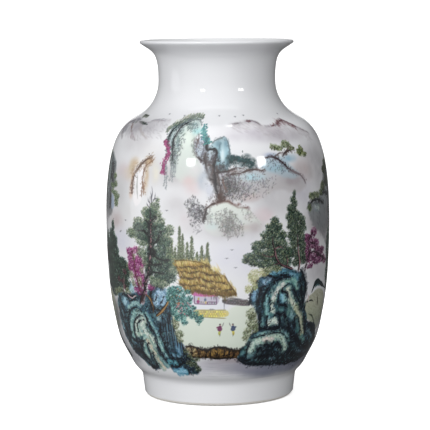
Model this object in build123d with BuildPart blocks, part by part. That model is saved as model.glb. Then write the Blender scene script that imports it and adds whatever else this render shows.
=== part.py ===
from build123d import *
import os

# A lantern-shaped porcelain vase: a foot, two body sections and a neck, each thrown on its own and
# luted to the next with slip, then glazed all over and painted over the glaze in enamels.
# Millimetres, +Z up. The origin is the centre of the foot, on the plane that the vase stands on.
# Every piece is a solid of revolution about Z, drawn as a half section: X is the radius, Y the height.

# Driving dimensions
outline = [  # the glazed outside, from the top of the foot's side to the start of the rolled lip
    (76.2, 20.0),
    (77.9, 24.2),  # crease above the foot
    (82.4, 29.2),
    (88.9, 40.0),
    (96.6, 55.0),
    (102.4, 76.0),
    (106.6, 100.0),
    (109.4, 130.0),
    (110.7, 168.0),  # widest
    (109.7, 208.0),
    (106.4, 234.0),
    (101.0, 253.5),
    (93.6, 266.5),  # shoulder
    (84.6, 274.8),
    (75.6, 280.3),
    (67.6, 286.6),
    (61.6, 295.4),
    (58.3, 305.5),
    (57.7, 316.0),  # narrowest
    (58.9, 330.0),
    (62.2, 338.6),
    (67.6, 343.4),
]
lip_centre = Vector(74.1, 350.1)  # centre of the lip's round edge
lip_radius = 1.9
lip_start = -50.0  # where the round edge starts, as an angle at its centre

glaze_thickness = 0.5
enamel_thickness = 0.2
wall_thicknesses = [(22.5, 7.5), (168.0, 6.0), (315.0, 5.0), (350.1, 2 * lip_radius)]  # at heights

foot_low = Vector(74.1, 3.2)  # where the foot's straight side rounds under
contact_outer = 69.9  # the bare ring that the vase stands on
contact_inner = 65.0
recess_radius = 64.0
recess_depth = 12.0
recess_fillet = 4.0
bare_rim_height = 2.6  # the glaze under the foot is wiped away below this
floor_height = 22.5
floor_flat_radius = 56.0

foot_joint = 32.0  # heights of the luted joints
belly_joint = 168.0
neck_joint = 288.0
slip_thickness = 1.0

painting_low = 27.0
painting_high = 284.0

inside_from = 3  # the wall's inside follows the outline from this point up, and below it turns into the floor

os.makedirs("parts", exist_ok=True)


def lip_point(angle, radius=lip_radius):
    """A point on a circle about the centre of the lip's round edge."""
    return lip_centre + Vector(radius, 0).rotate(Axis.Z, angle)


def wall_thickness(height):
    """Thickness of the glazed wall, changing evenly between the stated heights."""
    for (low, thick_low), (high, thick_high) in zip(wall_thicknesses, wall_thicknesses[1:]):
        if height <= high:
            return thick_low + (thick_high - thick_low) * (height - low) / (high - low)


def sunk(index, depth):
    """A point of the outline, moved into the wall square to the outline."""
    chain = [foot_low, *(Vector(*point) for point in outline), lip_point(lip_start)]
    along = (chain[index + 2] - chain[index]).normalized()
    return chain[index + 1] + Vector(-along.Y, along.X) * depth


foot_along = (Vector(*outline[0]) - foot_low).normalized()
foot_inward = Vector(-foot_along.Y, foot_along.X)
lip_along = Vector(1, 0).rotate(Axis.Z, lip_start + 90)


def draw_outside(depth):
    """Draws the outside at a depth under the glaze's face, and gives its lower and upper ends."""
    low = foot_low + foot_inward * depth
    points = [sunk(i, depth) for i in range(len(outline))]
    high = lip_point(lip_start, lip_radius - depth)
    Line(low, points[0])
    Spline(*points, high, tangents=(foot_along, lip_along), tangent_scalars=(1, 1))
    return low, high


def draw_inside(depth):
    """Draws the inside at a depth under the glaze's face, and gives its ends at the lip and the axis."""
    high = lip_point(lip_start + 180, lip_radius - depth)
    wall = [
        sunk(i, wall_thickness(outline[i][1]) - depth)
        for i in reversed(range(inside_from, len(outline)))
    ]
    turn = [Vector(76.2 + depth, 32.6 - depth), Vector(68.6 + depth / 2, 26.0 - depth)]
    flat = Vector(floor_flat_radius, floor_height - depth)
    Spline(high, *wall, *turn, flat, tangents=(-lip_along, Vector(-1, 0)), tangent_scalars=(1, 1))
    Line(flat, (0, flat.Y))
    return high, Vector(0, flat.Y)


def draw_recess(depth):
    """Draws the hollow under the base at a depth under its glaze, and gives its ends."""
    side = recess_radius + depth
    top = recess_depth + depth
    Line((0, top), (side - recess_fillet, top))
    RadiusArc((side - recess_fillet, top), (side, top - recess_fillet), recess_fillet)
    Line((side, top - recess_fillet), (side, bare_rim_height))
    return Vector(0, top), Vector(side, bare_rim_height)


def draw_lip_arc(start, end, radius):
    """Draws a stretch of the lip's round edge, from one angle to another."""
    ThreePointArc(lip_point(start, radius), lip_point((start + end) / 2, radius), lip_point(end, radius))


# The fired clay, before it is divided into the sections that were thrown.
with BuildSketch() as clay_profile:
    with BuildLine():
        outside_low, outside_high = draw_outside(glaze_thickness)
        inside_high, floor_centre = draw_inside(glaze_thickness)
        draw_lip_arc(lip_start, lip_start + 180, lip_radius - glaze_thickness)
        recess_centre, recess_low = draw_recess(glaze_thickness)
        Line(floor_centre, recess_centre)
        Polyline(recess_low, (contact_inner, 0), (contact_outer, 0))
        TangentArc((contact_outer, 0), outside_low, tangent=(1, 0))
    make_face()


def export_clay(name, low, high):
    """Writes the ring of clay between two heights."""
    with BuildPart() as clay:
        with BuildSketch(Plane.XZ):
            add(clay_profile.sketch)
            with Locations((0, (low + high) / 2)):
                Rectangle(4 * floor_flat_radius, high - low, align=(Align.MIN, Align.CENTER), mode=Mode.INTERSECT)
        revolve(axis=Axis.Z)
    clay.part.label = name
    export_step(clay.part, f"parts/{name}.step")


export_clay("foot_section", 0, foot_joint)
export_clay("foot_luting_seam", foot_joint, foot_joint + slip_thickness)
export_clay("lower_body", foot_joint + slip_thickness, belly_joint)
export_clay("belly_luting_seam", belly_joint, belly_joint + slip_thickness)
export_clay("upper_body", belly_joint + slip_thickness, neck_joint)
export_clay("neck_luting_seam", neck_joint, neck_joint + slip_thickness)
export_clay("neck_section", neck_joint + slip_thickness, lip_centre.Y + lip_radius)

# The glaze outside: up from the bare rim of the foot and over the lip to its top.
with BuildPart() as outer_glaze:
    with BuildSketch(Plane.XZ):
        with BuildLine():
            face_low, face_high = draw_outside(0)
            back_low, back_high = draw_outside(glaze_thickness)
            Line(face_low, back_low)
            draw_lip_arc(lip_start, 90, lip_radius)
            draw_lip_arc(lip_start, 90, lip_radius - glaze_thickness)
            Line(lip_point(90), lip_point(90, lip_radius - glaze_thickness))
        make_face()
    revolve(axis=Axis.Z)
outer_glaze.part.label = "outer_glaze"
export_step(outer_glaze.part, "parts/outer_glaze.step")

# The glaze inside: down from the top of the lip and across the floor.
with BuildPart() as inner_glaze:
    with BuildSketch(Plane.XZ):
        with BuildLine():
            face_high, face_centre = draw_inside(0)
            back_high, back_centre = draw_inside(glaze_thickness)
            Line(face_centre, back_centre)
            draw_lip_arc(90, lip_start + 180, lip_radius)
            draw_lip_arc(90, lip_start + 180, lip_radius - glaze_thickness)
            Line(lip_point(90), lip_point(90, lip_radius - glaze_thickness))
        make_face()
    revolve(axis=Axis.Z)
inner_glaze.part.label = "inner_glaze"
export_step(inner_glaze.part, "parts/inner_glaze.step")

# The glaze under the base, inside the foot ring.
with BuildPart() as base_glaze:
    with BuildSketch(Plane.XZ):
        with BuildLine():
            face_centre, face_low = draw_recess(0)
            back_centre, back_low = draw_recess(glaze_thickness)
            Line(face_centre, back_centre)
            Line(face_low, back_low)
        make_face()
    revolve(axis=Axis.Z)
base_glaze.part.label = "base_glaze"
export_step(base_glaze.part, "parts/base_glaze.step")

# The enamel coat of the painting, fired onto the glaze from just above the foot up to the neck.
with BuildPart() as enamel_painting:
    with BuildSketch(Plane.XZ):
        with BuildLine():
            glaze_low, glaze_high = draw_outside(0)
            enamel_low, enamel_high = draw_outside(-enamel_thickness)
            Line(glaze_low, enamel_low)
            Line(glaze_high, enamel_high)
        make_face()
        with Locations((0, (painting_low + painting_high) / 2)):
            Rectangle(
                4 * floor_flat_radius,
                painting_high - painting_low,
                align=(Align.MIN, Align.CENTER),
                mode=Mode.INTERSECT,
            )
    revolve(axis=Axis.Z)
enamel_painting.part.label = "enamel_painting"
export_step(enamel_painting.part, "parts/enamel_painting.step")
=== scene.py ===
"""The looks of a lantern-shaped porcelain vase: its glaze, its foot and its enamel landscape.

The landscape is laid onto a flat band that wraps round the vase. A place on the band is (u, z): u is
the distance round the widest girth and z the height, both in millimetres. u = 0 faces the camera, u
grows to the right, and the band closes on itself at the back. Colours are sRGB, 0 to 255.
"""

from contextlib import contextmanager
import math

import bpy
import numpy as np
from mathutils import Euler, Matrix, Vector


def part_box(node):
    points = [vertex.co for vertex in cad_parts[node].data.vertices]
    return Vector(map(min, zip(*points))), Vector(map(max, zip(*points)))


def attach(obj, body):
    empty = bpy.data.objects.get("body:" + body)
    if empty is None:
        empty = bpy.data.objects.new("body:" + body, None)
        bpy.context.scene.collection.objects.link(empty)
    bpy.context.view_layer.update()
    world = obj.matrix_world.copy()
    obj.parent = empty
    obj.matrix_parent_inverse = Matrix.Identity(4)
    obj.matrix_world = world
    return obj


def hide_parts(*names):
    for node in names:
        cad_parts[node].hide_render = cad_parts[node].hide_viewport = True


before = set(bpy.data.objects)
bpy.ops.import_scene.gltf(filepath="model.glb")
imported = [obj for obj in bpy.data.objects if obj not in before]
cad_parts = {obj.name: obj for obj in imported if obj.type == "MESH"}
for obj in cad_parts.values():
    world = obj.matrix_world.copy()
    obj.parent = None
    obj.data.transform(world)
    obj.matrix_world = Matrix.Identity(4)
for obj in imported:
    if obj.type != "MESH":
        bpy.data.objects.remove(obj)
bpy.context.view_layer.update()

MM = 0.001
rng = np.random.default_rng(20)

# ---------------------------------------------------------------- the painted band

GIRTH_RADIUS = 110.7
GIRTH = 2 * math.pi * GIRTH_RADIUS
COLUMNS = 1400
STEP = GIRTH / COLUMNS
ROW_STEP = 0.5
OUTLINE_SPACING = 2.5
NOISE_CELLS = 256
NOISE_LAYER_RISE = 17.3
NOISE_LAYER_SHIFT = 31
FAINTEST = 0.02

porcelain = (226, 227, 230)
ink = (18, 21, 28)
sepia = (52, 36, 28)


class Band:
    """The painting as a grid of colours, with the thickness of the enamel in millimetres."""

    def __init__(self, heights):
        self.heights = heights
        self.colour = np.empty((len(heights), COLUMNS, 3))
        self.colour[:] = porcelain
        self.relief = np.zeros((len(heights), COLUMNS))

    def window(self, low_u, high_u, low_z, high_z):
        """Rows and columns that cover a patch, and their (u, z), which run on past the back seam."""
        rows = slice(*np.searchsorted(self.heights, (low_z, high_z)))
        first = math.floor((low_u + GIRTH / 2) / STEP)
        count = min(COLUMNS, math.ceil((high_u - low_u) / STEP) + 1)
        columns = first + np.arange(count)
        u = columns * STEP - GIRTH / 2
        return rows, columns % COLUMNS, u[None, :], self.heights[rows, None]

    def lay(self, rows, columns, colour, alpha):
        """Lays a colour over a patch."""
        patch = self.colour[rows][:, columns]
        alpha = alpha[..., None]
        self.colour[rows, columns] = patch + (np.asarray(colour, float) - patch) * alpha


noise_grid = rng.random((NOISE_CELLS, NOISE_CELLS))
placing = {"shift": 0.0, "flip": 1}


@contextmanager
def placed(shift, flip=1):
    """Paints what follows further round the vase, and mirrored if flip is -1."""
    placing.update(shift=shift, flip=flip)
    yield
    placing.update(shift=0.0, flip=1)


def around(u):
    """Where a place in the motif's own u falls on the band."""
    return placing["shift"] + placing["flip"] * u


def noise(u, z, size, layer=0):
    """Smooth noise from 0 to 1, with bumps of about the given size, that closes round the vase."""
    cells = max(1, round(GIRTH / size))
    x = (u / GIRTH + 0.5) * cells
    y = z / size + NOISE_LAYER_RISE * layer
    x0 = np.floor(x).astype(int)
    y0 = np.floor(y).astype(int)
    fx = x - x0
    fy = y - y0
    fx = fx * fx * (3 - 2 * fx)
    fy = fy * fy * (3 - 2 * fy)
    shift = NOISE_LAYER_SHIFT * layer
    west = (x0 % cells + shift) % NOISE_CELLS
    east = ((x0 + 1) % cells + shift) % NOISE_CELLS
    south = y0 % NOISE_CELLS
    north = (y0 + 1) % NOISE_CELLS
    low = noise_grid[south, west] * (1 - fx) + noise_grid[south, east] * fx
    high = noise_grid[north, west] * (1 - fx) + noise_grid[north, east] * fx
    return low * (1 - fy) + high * fy


def cloud(u, z, size, layer=0):
    """Noise with finer noise on it, from 0 to 1."""
    coarse = noise(u, z, size, layer)
    middle = noise(u, z, size / 2.1, layer + 1)
    fine = noise(u, z, size / 4.7, layer + 2)
    return (coarse * 4 + middle * 2 + fine) / 7


def smooth(points, closed=False, spacing=0.3):
    """A smooth curve through the points, as evenly spaced points."""
    points = np.asarray(points, float)
    if closed:
        chain = np.vstack([points[-1], points, points[:2]])
    else:
        chain = np.vstack([2 * points[0] - points[1], points, 2 * points[-1] - points[-2]])
    t = np.linspace(0, 1, 12, endpoint=False)[:, None]
    spans = []
    for p0, p1, p2, p3 in zip(chain, chain[1:], chain[2:], chain[3:]):
        spans.append(
            0.5 * (2 * p1 + (p2 - p0) * t + (2 * p0 - 5 * p1 + 4 * p2 - p3) * t**2
                   + (3 * p1 - p0 - 3 * p2 + p3) * t**3)
        )
    curve = np.vstack([*spans, chain[-2]])
    length = np.concatenate([[0], np.cumsum(np.hypot(*np.diff(curve, axis=0).T))])
    even = np.linspace(0, length[-1], max(2, int(length[-1] / spacing) + 1))
    return np.column_stack([np.interp(even, length, curve[:, k]) for k in (0, 1)])


def ramp(t, colours):
    """Colours along a ramp, for t from 0 to 1."""
    colours = np.asarray(colours, float)
    stops = np.linspace(0, 1, len(colours))
    return np.stack([np.interp(t, stops, colours[:, k]) for k in range(3)], axis=-1)


def depth_in(outline, u, z):
    """How far places lie inside a closed outline, negative outside it."""
    nearest = np.full(np.broadcast(u, z).shape, np.inf)
    inside = np.zeros(nearest.shape, bool)
    for (u0, z0), (u1, z1) in zip(outline, np.roll(outline, -1, axis=0)):
        du, dz = u1 - u0, z1 - z0
        along = np.clip(((u - u0) * du + (z - z0) * dz) / (du * du + dz * dz + 1e-9), 0, 1)
        nearest = np.minimum(nearest, (u - u0 - along * du) ** 2 + (z - z0 - along * dz) ** 2)
        if dz:
            inside ^= ((z0 > z) != (z1 > z)) & (u < u0 + (z - z0) * du / dz)
    return np.where(inside, 1, -1) * np.sqrt(nearest)


def fill(points, colour, alpha=1.0, edge=1.0, rough=1.0, size=5.0, mottle=0.0, relief=0.03):
    """Fills a closed shape. The colour may be a ramp from the bottom of the shape to its top."""
    outline = smooth(points, closed=True, spacing=OUTLINE_SPACING)
    outline[:, 0] = around(outline[:, 0])
    margin = edge + rough
    low = outline.min(0) - margin
    high = outline.max(0) + margin
    rows, columns, u, z = band.window(low[0], high[0], low[1], high[1])
    depth = depth_in(outline, u, z) + rough * (cloud(u, z, size) - 0.5) * 2
    cover = np.clip(0.5 + depth / edge, 0, 1)
    cover = cover * cover * (3 - 2 * cover) * alpha
    if mottle:
        cover = cover * (1 - mottle * cloud(u, z, size, layer=3))
    if np.ndim(colour) == 2:
        height = (z - low[1]) / (high[1] - low[1])
        colour = ramp(height + 0.3 * (cloud(u, z, 12, layer=5) - 0.5), colour)
    band.lay(rows, columns, colour, cover)
    patch = band.relief[rows][:, columns]
    band.relief[rows, columns] = np.maximum(patch, relief * cover)


def scatter(points, count):
    """Random places inside a closed shape."""
    outline = smooth(points, closed=True, spacing=OUTLINE_SPACING)
    u, z = rng.uniform(outline.min(0), outline.max(0), (count, 2)).T
    keep = depth_in(outline, u, z) > 0
    return u[keep], z[keep]


def wash(u0, z0, width, height, colour, alpha, tilt=0.0, size=14.0, layer=0):
    """A soft cloud of thin colour."""
    u0 = around(u0)
    tilt = placing["flip"] * tilt
    reach = 1.6 * max(width, height)
    rows, columns, u, z = band.window(u0 - reach, u0 + reach, z0 - reach, z0 + reach)
    across = (u - u0) * math.cos(tilt) + (z - z0) * math.sin(tilt)
    up = (z - z0) * math.cos(tilt) - (u - u0) * math.sin(tilt)
    cover = np.exp(-2 * ((across / width) ** 2 + (up / height) ** 2) ** 1.3)
    cover = cover * alpha * np.clip(0.35 + 1.3 * cloud(u, z, size, layer), 0, 1.25)
    band.lay(rows, columns, colour, np.clip(cover, 0, 1))


def washes(places, size=14.0, layered=False):
    """Several clouds of thin colour. Layered ones differ in their noise."""
    for u, z, width, height, colour, alpha in places:
        wash(u, z, width, height, colour, alpha, size=size, layer=int(z) % 7 if layered else 0)


def dabs(u, z, length, width, angle, colour, alpha=1.0, relief=0.0, soft=False):
    """Many strokes of a brush tip at once, each an oval. Where they overlap, the fullest one shows."""
    u = np.atleast_1d(around(u))
    angle = placing["flip"] * angle
    u, z, length, width, angle, alpha = np.broadcast_arrays(u, z, length, width, angle, alpha)
    colour = np.broadcast_to(np.asarray(colour, float), (len(u), 3))
    reach = length.max() / 2 + STEP
    columns = np.round((u + GIRTH / 2) / STEP).astype(int)
    rows = np.searchsorted(band.heights, z)
    half = math.ceil(reach / STEP)
    tall = min(math.ceil(reach / np.diff(band.heights).min()), 3 * half)
    dj = np.arange(-half, half + 1)[None, None, :]
    di = np.arange(-tall, tall + 1)[None, :, None]
    grid_columns = columns[:, None, None] + dj
    grid_rows = rows[:, None, None] + di
    known = (grid_rows >= 0) & (grid_rows < len(band.heights))
    grid_rows = np.clip(grid_rows, 0, len(band.heights) - 1)
    du = grid_columns * STEP - GIRTH / 2 - u[:, None, None]
    dz = band.heights[grid_rows] - z[:, None, None]
    cosine = np.cos(angle)[:, None, None]
    sine = np.sin(angle)[:, None, None]
    along = (du * cosine + dz * sine) / (length[:, None, None] / 2)
    across = (dz * cosine - du * sine) / (width[:, None, None] / 2)
    inset = (1 - np.hypot(along, across)) * width[:, None, None] / 2
    full = np.clip(width / STEP, 0, 1)[:, None, None]
    if soft:
        shape = np.clip(1.1 - np.hypot(along, across), 0, 1)
    else:
        shape = np.clip(0.5 + inset / STEP, 0, 1)
    cover = shape * full * alpha[:, None, None] * known
    which, i, j = np.nonzero(cover > FAINTEST)
    strength = cover[which, i, j]
    place = grid_rows[which, i, 0] * COLUMNS + grid_columns[which, 0, j] % COLUMNS
    order = np.argsort(strength, kind="stable")
    which, strength, place = which[order], strength[order], place[order]
    flat = band.colour.reshape(-1, 3)
    before = flat[place]
    flat[place] = before + (colour[which] - before) * strength[:, None]
    if relief:
        flat_relief = band.relief.reshape(-1)
        flat_relief[place] = np.maximum(flat_relief[place], relief * strength)


def stroke(points, width, colour, alpha=1.0, taper=(0.25, 0.35), wobble=0.3, relief=0.05):
    """A brush line through the points, thin at its ends, with an uneven hand."""
    curve = smooth(points)
    t = np.linspace(0, 1, len(curve))
    body = np.minimum(1, np.minimum(t / max(taper[0], 1e-3), (1 - t) / max(taper[1], 1e-3)))
    uneven = np.interp(t, np.linspace(0, 1, 9), rng.uniform(1 - wobble, 1 + wobble, 9))
    size = np.maximum(width * (0.25 + 0.75 * body) * uneven, 0.3)
    dabs(curve[:, 0], curve[:, 1], size, size, 0.0, colour, alpha, relief)


def jitter(colour, count, amount=9):
    """The same colour many times, each a little lighter or darker and of its own hue."""
    shade = rng.normal(0, amount, (count, 1)) + rng.normal(0, amount / 3, (count, 3))
    return np.clip(np.asarray(colour, float) + shade, 4, 250)


# ---------------------------------------------------------------- kinds of brushwork

olive_dark = (66, 74, 50)
leaf_dark = (20, 62, 62)
leaf_teal = (60, 130, 124)
leaf_light = (136, 192, 182)
magenta_dark = (92, 26, 72)
magenta = (158, 62, 124)
magenta_light = (204, 124, 176)
ochre_dark = (88, 66, 22)
ochre = (166, 134, 60)
rose_bark = (186, 148, 150)
mist_rose = (214, 198, 200)
mist_lilac = (208, 208, 224)


def oval(u, z, half_width, half_height):
    """A closed outline round a centre."""
    turn = np.linspace(0, 2 * math.pi, 8, endpoint=False)
    return np.column_stack([u + half_width * np.cos(turn), z + half_height * np.sin(turn)])


def foliage(lobes, dark, middle, light, leaf=1.7, density=0.55, under=0.75):
    """Heaped leaf dots with ragged edges, dark in the heart of each lobe and flecked with light."""
    for lobe in lobes:
        fill(oval(*lobe), middle, alpha=under, edge=2.0, rough=3.2, size=3.5, mottle=0.5)
    lobes = np.asarray(lobes, float)
    counts = np.ceil(density * math.pi * lobes[:, 2] * lobes[:, 3]).astype(int)
    layers = [
        (light, 1.3, 0.5, 0.0, 0.7, 0.8),
        (middle, 1.15, 1.1, 0.0, 0.85, 1.0),
        (dark, 1.25, 0.7, -0.1, 0.85, 0.75),
        (dark, 0.9, 0.9, -0.15, 0.95, 1.0),
        (light, 0.85, 0.3, 0.2, 0.7, 0.7),
    ]
    for colour, spread, share, drop, alpha, size in layers:
        which = np.repeat(np.arange(len(lobes)), np.ceil(counts * share).astype(int))
        count = len(which)
        turn = rng.uniform(0, 2 * math.pi, count)
        reach = spread * np.sqrt(rng.random(count))
        u = lobes[which, 0] + lobes[which, 2] * reach * np.cos(turn)
        z = lobes[which, 1] + lobes[which, 3] * (reach * np.sin(turn) + drop)
        length = size * leaf * rng.uniform(0.6, 1.25, count)
        tilt = rng.normal(0.5, 0.8, count)
        dabs(u, z, length, length * rng.uniform(0.4, 0.75, count), tilt,
             jitter(colour, count, 12), alpha * rng.uniform(0.6, 1, count), relief=0.06)


def branch(points, width, bark=ink, light=rose_bark, gleam=0.45):
    """A branch with a dark rind and a pale streak along it."""
    stroke(points, width, bark, taper=(0.05, 0.5))
    if gleam:
        inner = np.asarray(points, float) + (0.18 * width, 0.0)
        stroke(inner, gleam * width, light, alpha=0.85, taper=(0.1, 0.5), wobble=0.7)


def along_line(points, count, spread):
    """Random places along a line, scattered to both sides, and the line's heading there."""
    curve = smooth(points, spacing=0.6)
    heading = np.gradient(curve, axis=0)
    pick = rng.integers(0, len(curve), count)
    tilt = np.arctan2(heading[pick, 1], heading[pick, 0])
    off = rng.normal(0, spread, count)
    return curve[pick, 0] - np.sin(tilt) * off, curve[pick, 1] + np.cos(tilt) * off, tilt


def line_length(points):
    """The length of a broken line."""
    return np.hypot(*np.diff(np.asarray(points, float), axis=0).T).sum()


def ridge(points, width, halo, light):
    """A lit ridge of rock: a coloured bloom, paler and paler towards its crest."""
    halo, light = np.asarray(halo, float), np.asarray(light, float)
    length = line_length(points) + width
    for share, blend, alpha, size in [(0.46, 0.0, 0.75, 5.0), (0.32, 0.45, 0.8, 4.2), (0.2, 1.0, 0.9, 3.4)]:
        count = int(length * width * share * 0.9) + 4
        u, z, tilt = along_line(points, count, share * width * 0.72)
        colour = jitter(halo * (1 - blend) + light * blend, count, 12)
        dabs(u, z, size, size * 0.75, tilt + rng.normal(0, 0.4, count), colour, alpha, relief=0.03, soft=True)
    count = int(length * 1.6)
    u, z, tilt = along_line(points, count, 0.16 * width)
    dabs(u, z, 1.5, 0.8, tilt + rng.normal(0, 0.8, count), jitter(light + 14, count, 10), 0.7, relief=0.05)


def ridges(lines):
    """Several ridges, each with its width, bloom and crest colour."""
    for points, width, halo, light in lines:
        ridge(points, width, halo, light)


def crease(points, width=1.8, shade=(22, 28, 36), bloom=0.5, specks=1.0, taper=(0.15, 0.25)):
    """A crease in rock: soft dark, a ragged ink line, and ink specks to both sides."""
    length = line_length(points)
    count = int(length * width * 0.5) + 3
    u, z, tilt = along_line(points, count, 0.5 * width)
    dabs(u, z, 2.4 * width, 1.3 * width, tilt, jitter(shade, count, 5), bloom, soft=True)
    stroke(points, width * 0.8, shade, 0.92, wobble=0.6, taper=taper)
    count = int(length * width * specks) + 3
    u, z, tilt = along_line(points, count, 0.8 * width)
    dabs(u, z, rng.uniform(0.8, 2.4, count), rng.uniform(0.5, 1.1, count), tilt + rng.normal(0, 0.9, count),
         jitter(shade, count, 6), rng.uniform(0.4, 0.95, count), relief=0.05)


def creases(lines):
    """Several creases, each with its width."""
    for line, width in lines:
        crease(line, width)


def stipple(outline, count, colour, size=1.1, alpha=0.7):
    """Rock drawn with short upright touches, thinning out to its edge, over a faint shade."""
    centre = np.mean(outline, axis=0)
    u, z = scatter(outline, int(0.6 * count))
    near = rng.random(len(u)) ** 0.4
    u, z = centre[0] + (u - centre[0]) * near * 1.2, centre[1] + (z - centre[1]) * near * 1.2
    count = len(u)
    shade = jitter(colour, count, 14) - 30
    dabs(u[::3], z[::3], 6.0, 5.0, 0.0, shade[::3] + 80, 0.2, soft=True)
    dabs(u, z, size * rng.uniform(0.8, 2.2, count), 0.7, rng.normal(1.3, 0.7, count), shade, alpha)


def dusk_mass(outline, tones, specks, edge=2.5):
    """The dark body of a rock, mottled and specked."""
    fill(outline, tones, 0.98, edge=edge, rough=2.6, size=6, relief=0.04)
    u, z = scatter(outline, specks)
    dabs(u, z, 5.0, 3.0, rng.normal(0, 1, len(u)), jitter((84, 124, 138), len(u), 24), 0.6, soft=True)
    u, z = scatter(outline, 2 * specks)
    strokes(u, z, 1.8, 0.8, -1.0, (14, 18, 24), 0.75, spread=0.9)


def weather(outline, count):
    """Fine black cracks and ragged pale flecks over a finished rock."""
    scribble(outline, count, (14, 18, 24), size=4.0, width=0.75, alpha=0.85)
    u, z = scatter(outline, count)
    strokes(u, z, 2.6, 0.6, 1.1, (170, 204, 206), 0.5, spread=0.8)


def strokes(u, z, length, width, angle, colour, alpha=0.8, spread=0.3):
    """Loose short strokes that all lean about one way."""
    count = len(u)
    dabs(u, z, length * rng.uniform(0.6, 1.3, count), width * rng.uniform(0.7, 1.3, count),
         rng.normal(angle, spread, count), jitter(colour, count), alpha, relief=0.04)


def scribble(points, count, colour, size=3.0, width=0.5, alpha=0.7):
    """Small curling lines, as dry rock is drawn."""
    for u, z in zip(*scatter(points, count)):
        turn = rng.uniform(0, 2 * math.pi)
        bend = rng.choice([-1, 1]) * rng.uniform(0.5, 1.2)
        steps = turn + bend * np.arange(4)
        curl = np.cumsum(np.column_stack([np.cos(steps), np.sin(steps)]), axis=0) * size / 3
        stroke(curl + (u, z), width, colour, alpha, wobble=0.6, relief=0.02)


def bird(u, z, size=1.6, alpha=0.75):
    """A far bird: two wing strokes."""
    for reach in (-1, 1):
        stroke([(u, z), (u + reach * size * 0.6, z + 0.45 * size), (u + reach * size * 1.2, z + 0.1)],
               0.55, (84, 86, 94), alpha, taper=(0.0, 0.7), relief=0.0)
    dabs(u, z, 1.1, 0.6, 0.2, (66, 68, 76), alpha)


# ---------------------------------------------------------------- what the landscape holds


def sky_and_mist():
    """Thin washes of mist, rose and lilac between the motifs."""
    washes([
        (-105, 268, 42, 10, (158, 156, 162), 0.85),
        (-95, 256, 40, 14, (204, 203, 206), 0.8),
        (-110, 226, 20, 12, mist_rose, 0.7),
        (-70, 250, 30, 12, (222, 221, 222), 0.7),
        (-115, 208, 22, 26, (206, 206, 208), 0.8),
        (-122, 180, 20, 12, (196, 184, 184), 0.7),
        (-100, 190, 16, 12, (218, 218, 218), 0.6),
        (-108, 162, 20, 14, mist_lilac, 0.7),
        (-40, 230, 26, 18, (190, 188, 190), 0.85),
        (-24, 218, 12, 12, mist_rose, 0.8),
        (-38, 198, 20, 18, (206, 205, 208), 0.85),
        (-62, 232, 16, 20, (204, 203, 206), 0.7),
        (60, 226, 40, 12, (180, 178, 182), 0.7),
        (-28, 184, 12, 12, (206, 196, 200), 0.7),
        (10, 176, 46, 14, (196, 194, 198), 0.85),
        (30, 184, 20, 12, (200, 196, 198), 0.7),
        (45, 190, 12, 9, (218, 188, 194), 0.6),
        (20, 150, 40, 22, mist_lilac, 0.45),
        (52, 210, 34, 22, (186, 185, 189), 0.85),
        (70, 200, 26, 16, (206, 205, 208), 0.7),
        (45, 264, 48, 9, (196, 192, 200), 0.8),
        (80, 262, 40, 9, (176, 172, 178), 0.8),
        (98, 228, 20, 14, (178, 160, 158), 0.7),
        (118, 232, 34, 30, (170, 168, 172), 0.7),
        (122, 180, 34, 26, (158, 152, 156), 0.75),
        (118, 130, 24, 18, (170, 166, 172), 0.7),
        (92, 210, 18, 20, (186, 184, 194), 0.7),
        (-132, 92, 16, 16, (170, 168, 170), 0.6),
    ], layered=True)


def far_ridge(line, colour, depth=9.0, ink_colour=(74, 66, 74)):
    """A far range: broken soft brush marks along a line, with a wash that fades below it."""
    curve = smooth(line, spacing=0.8)
    for drop in np.linspace(0, 1, 9):
        dabs(curve[:, 0] + rng.normal(0, 1, len(curve)), curve[:, 1] - drop * depth, 8.0, 3.4, -0.3,
             jitter(colour, len(curve), 4), 0.22 * (1 - drop) ** 1.3, soft=True)
    heavy = np.clip(2.4 * (cloud(around(curve[:, 0]), curve[:, 1], 9.0, layer=2) - 0.3), 0, 1)
    heading = np.gradient(curve, axis=0)
    tilt = np.arctan2(heading[:, 1], heading[:, 0])
    for spread, length, width, alpha in [(1.0, 6.0, 2.2, 0.4), (0.4, 4.5, 1.2, 0.8)]:
        u, z = curve.T + rng.normal(0, spread, (2, len(curve))) * ((0.6,), (0.5,))
        dabs(u, z, length, width, tilt, jitter(ink_colour, len(curve), 12), alpha * heavy, soft=True)
    lean = curve[rng.integers(0, len(curve), int(1.2 * len(curve)))]
    dabs(lean[:, 0] + rng.normal(0, 1.5, len(lean)), lean[:, 1] - rng.uniform(0, depth, len(lean)),
         7.0, 1.6, rng.normal(-0.45, 0.25, len(lean)), jitter(colour, len(lean), 8) - 14, 0.3, soft=True)


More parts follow.
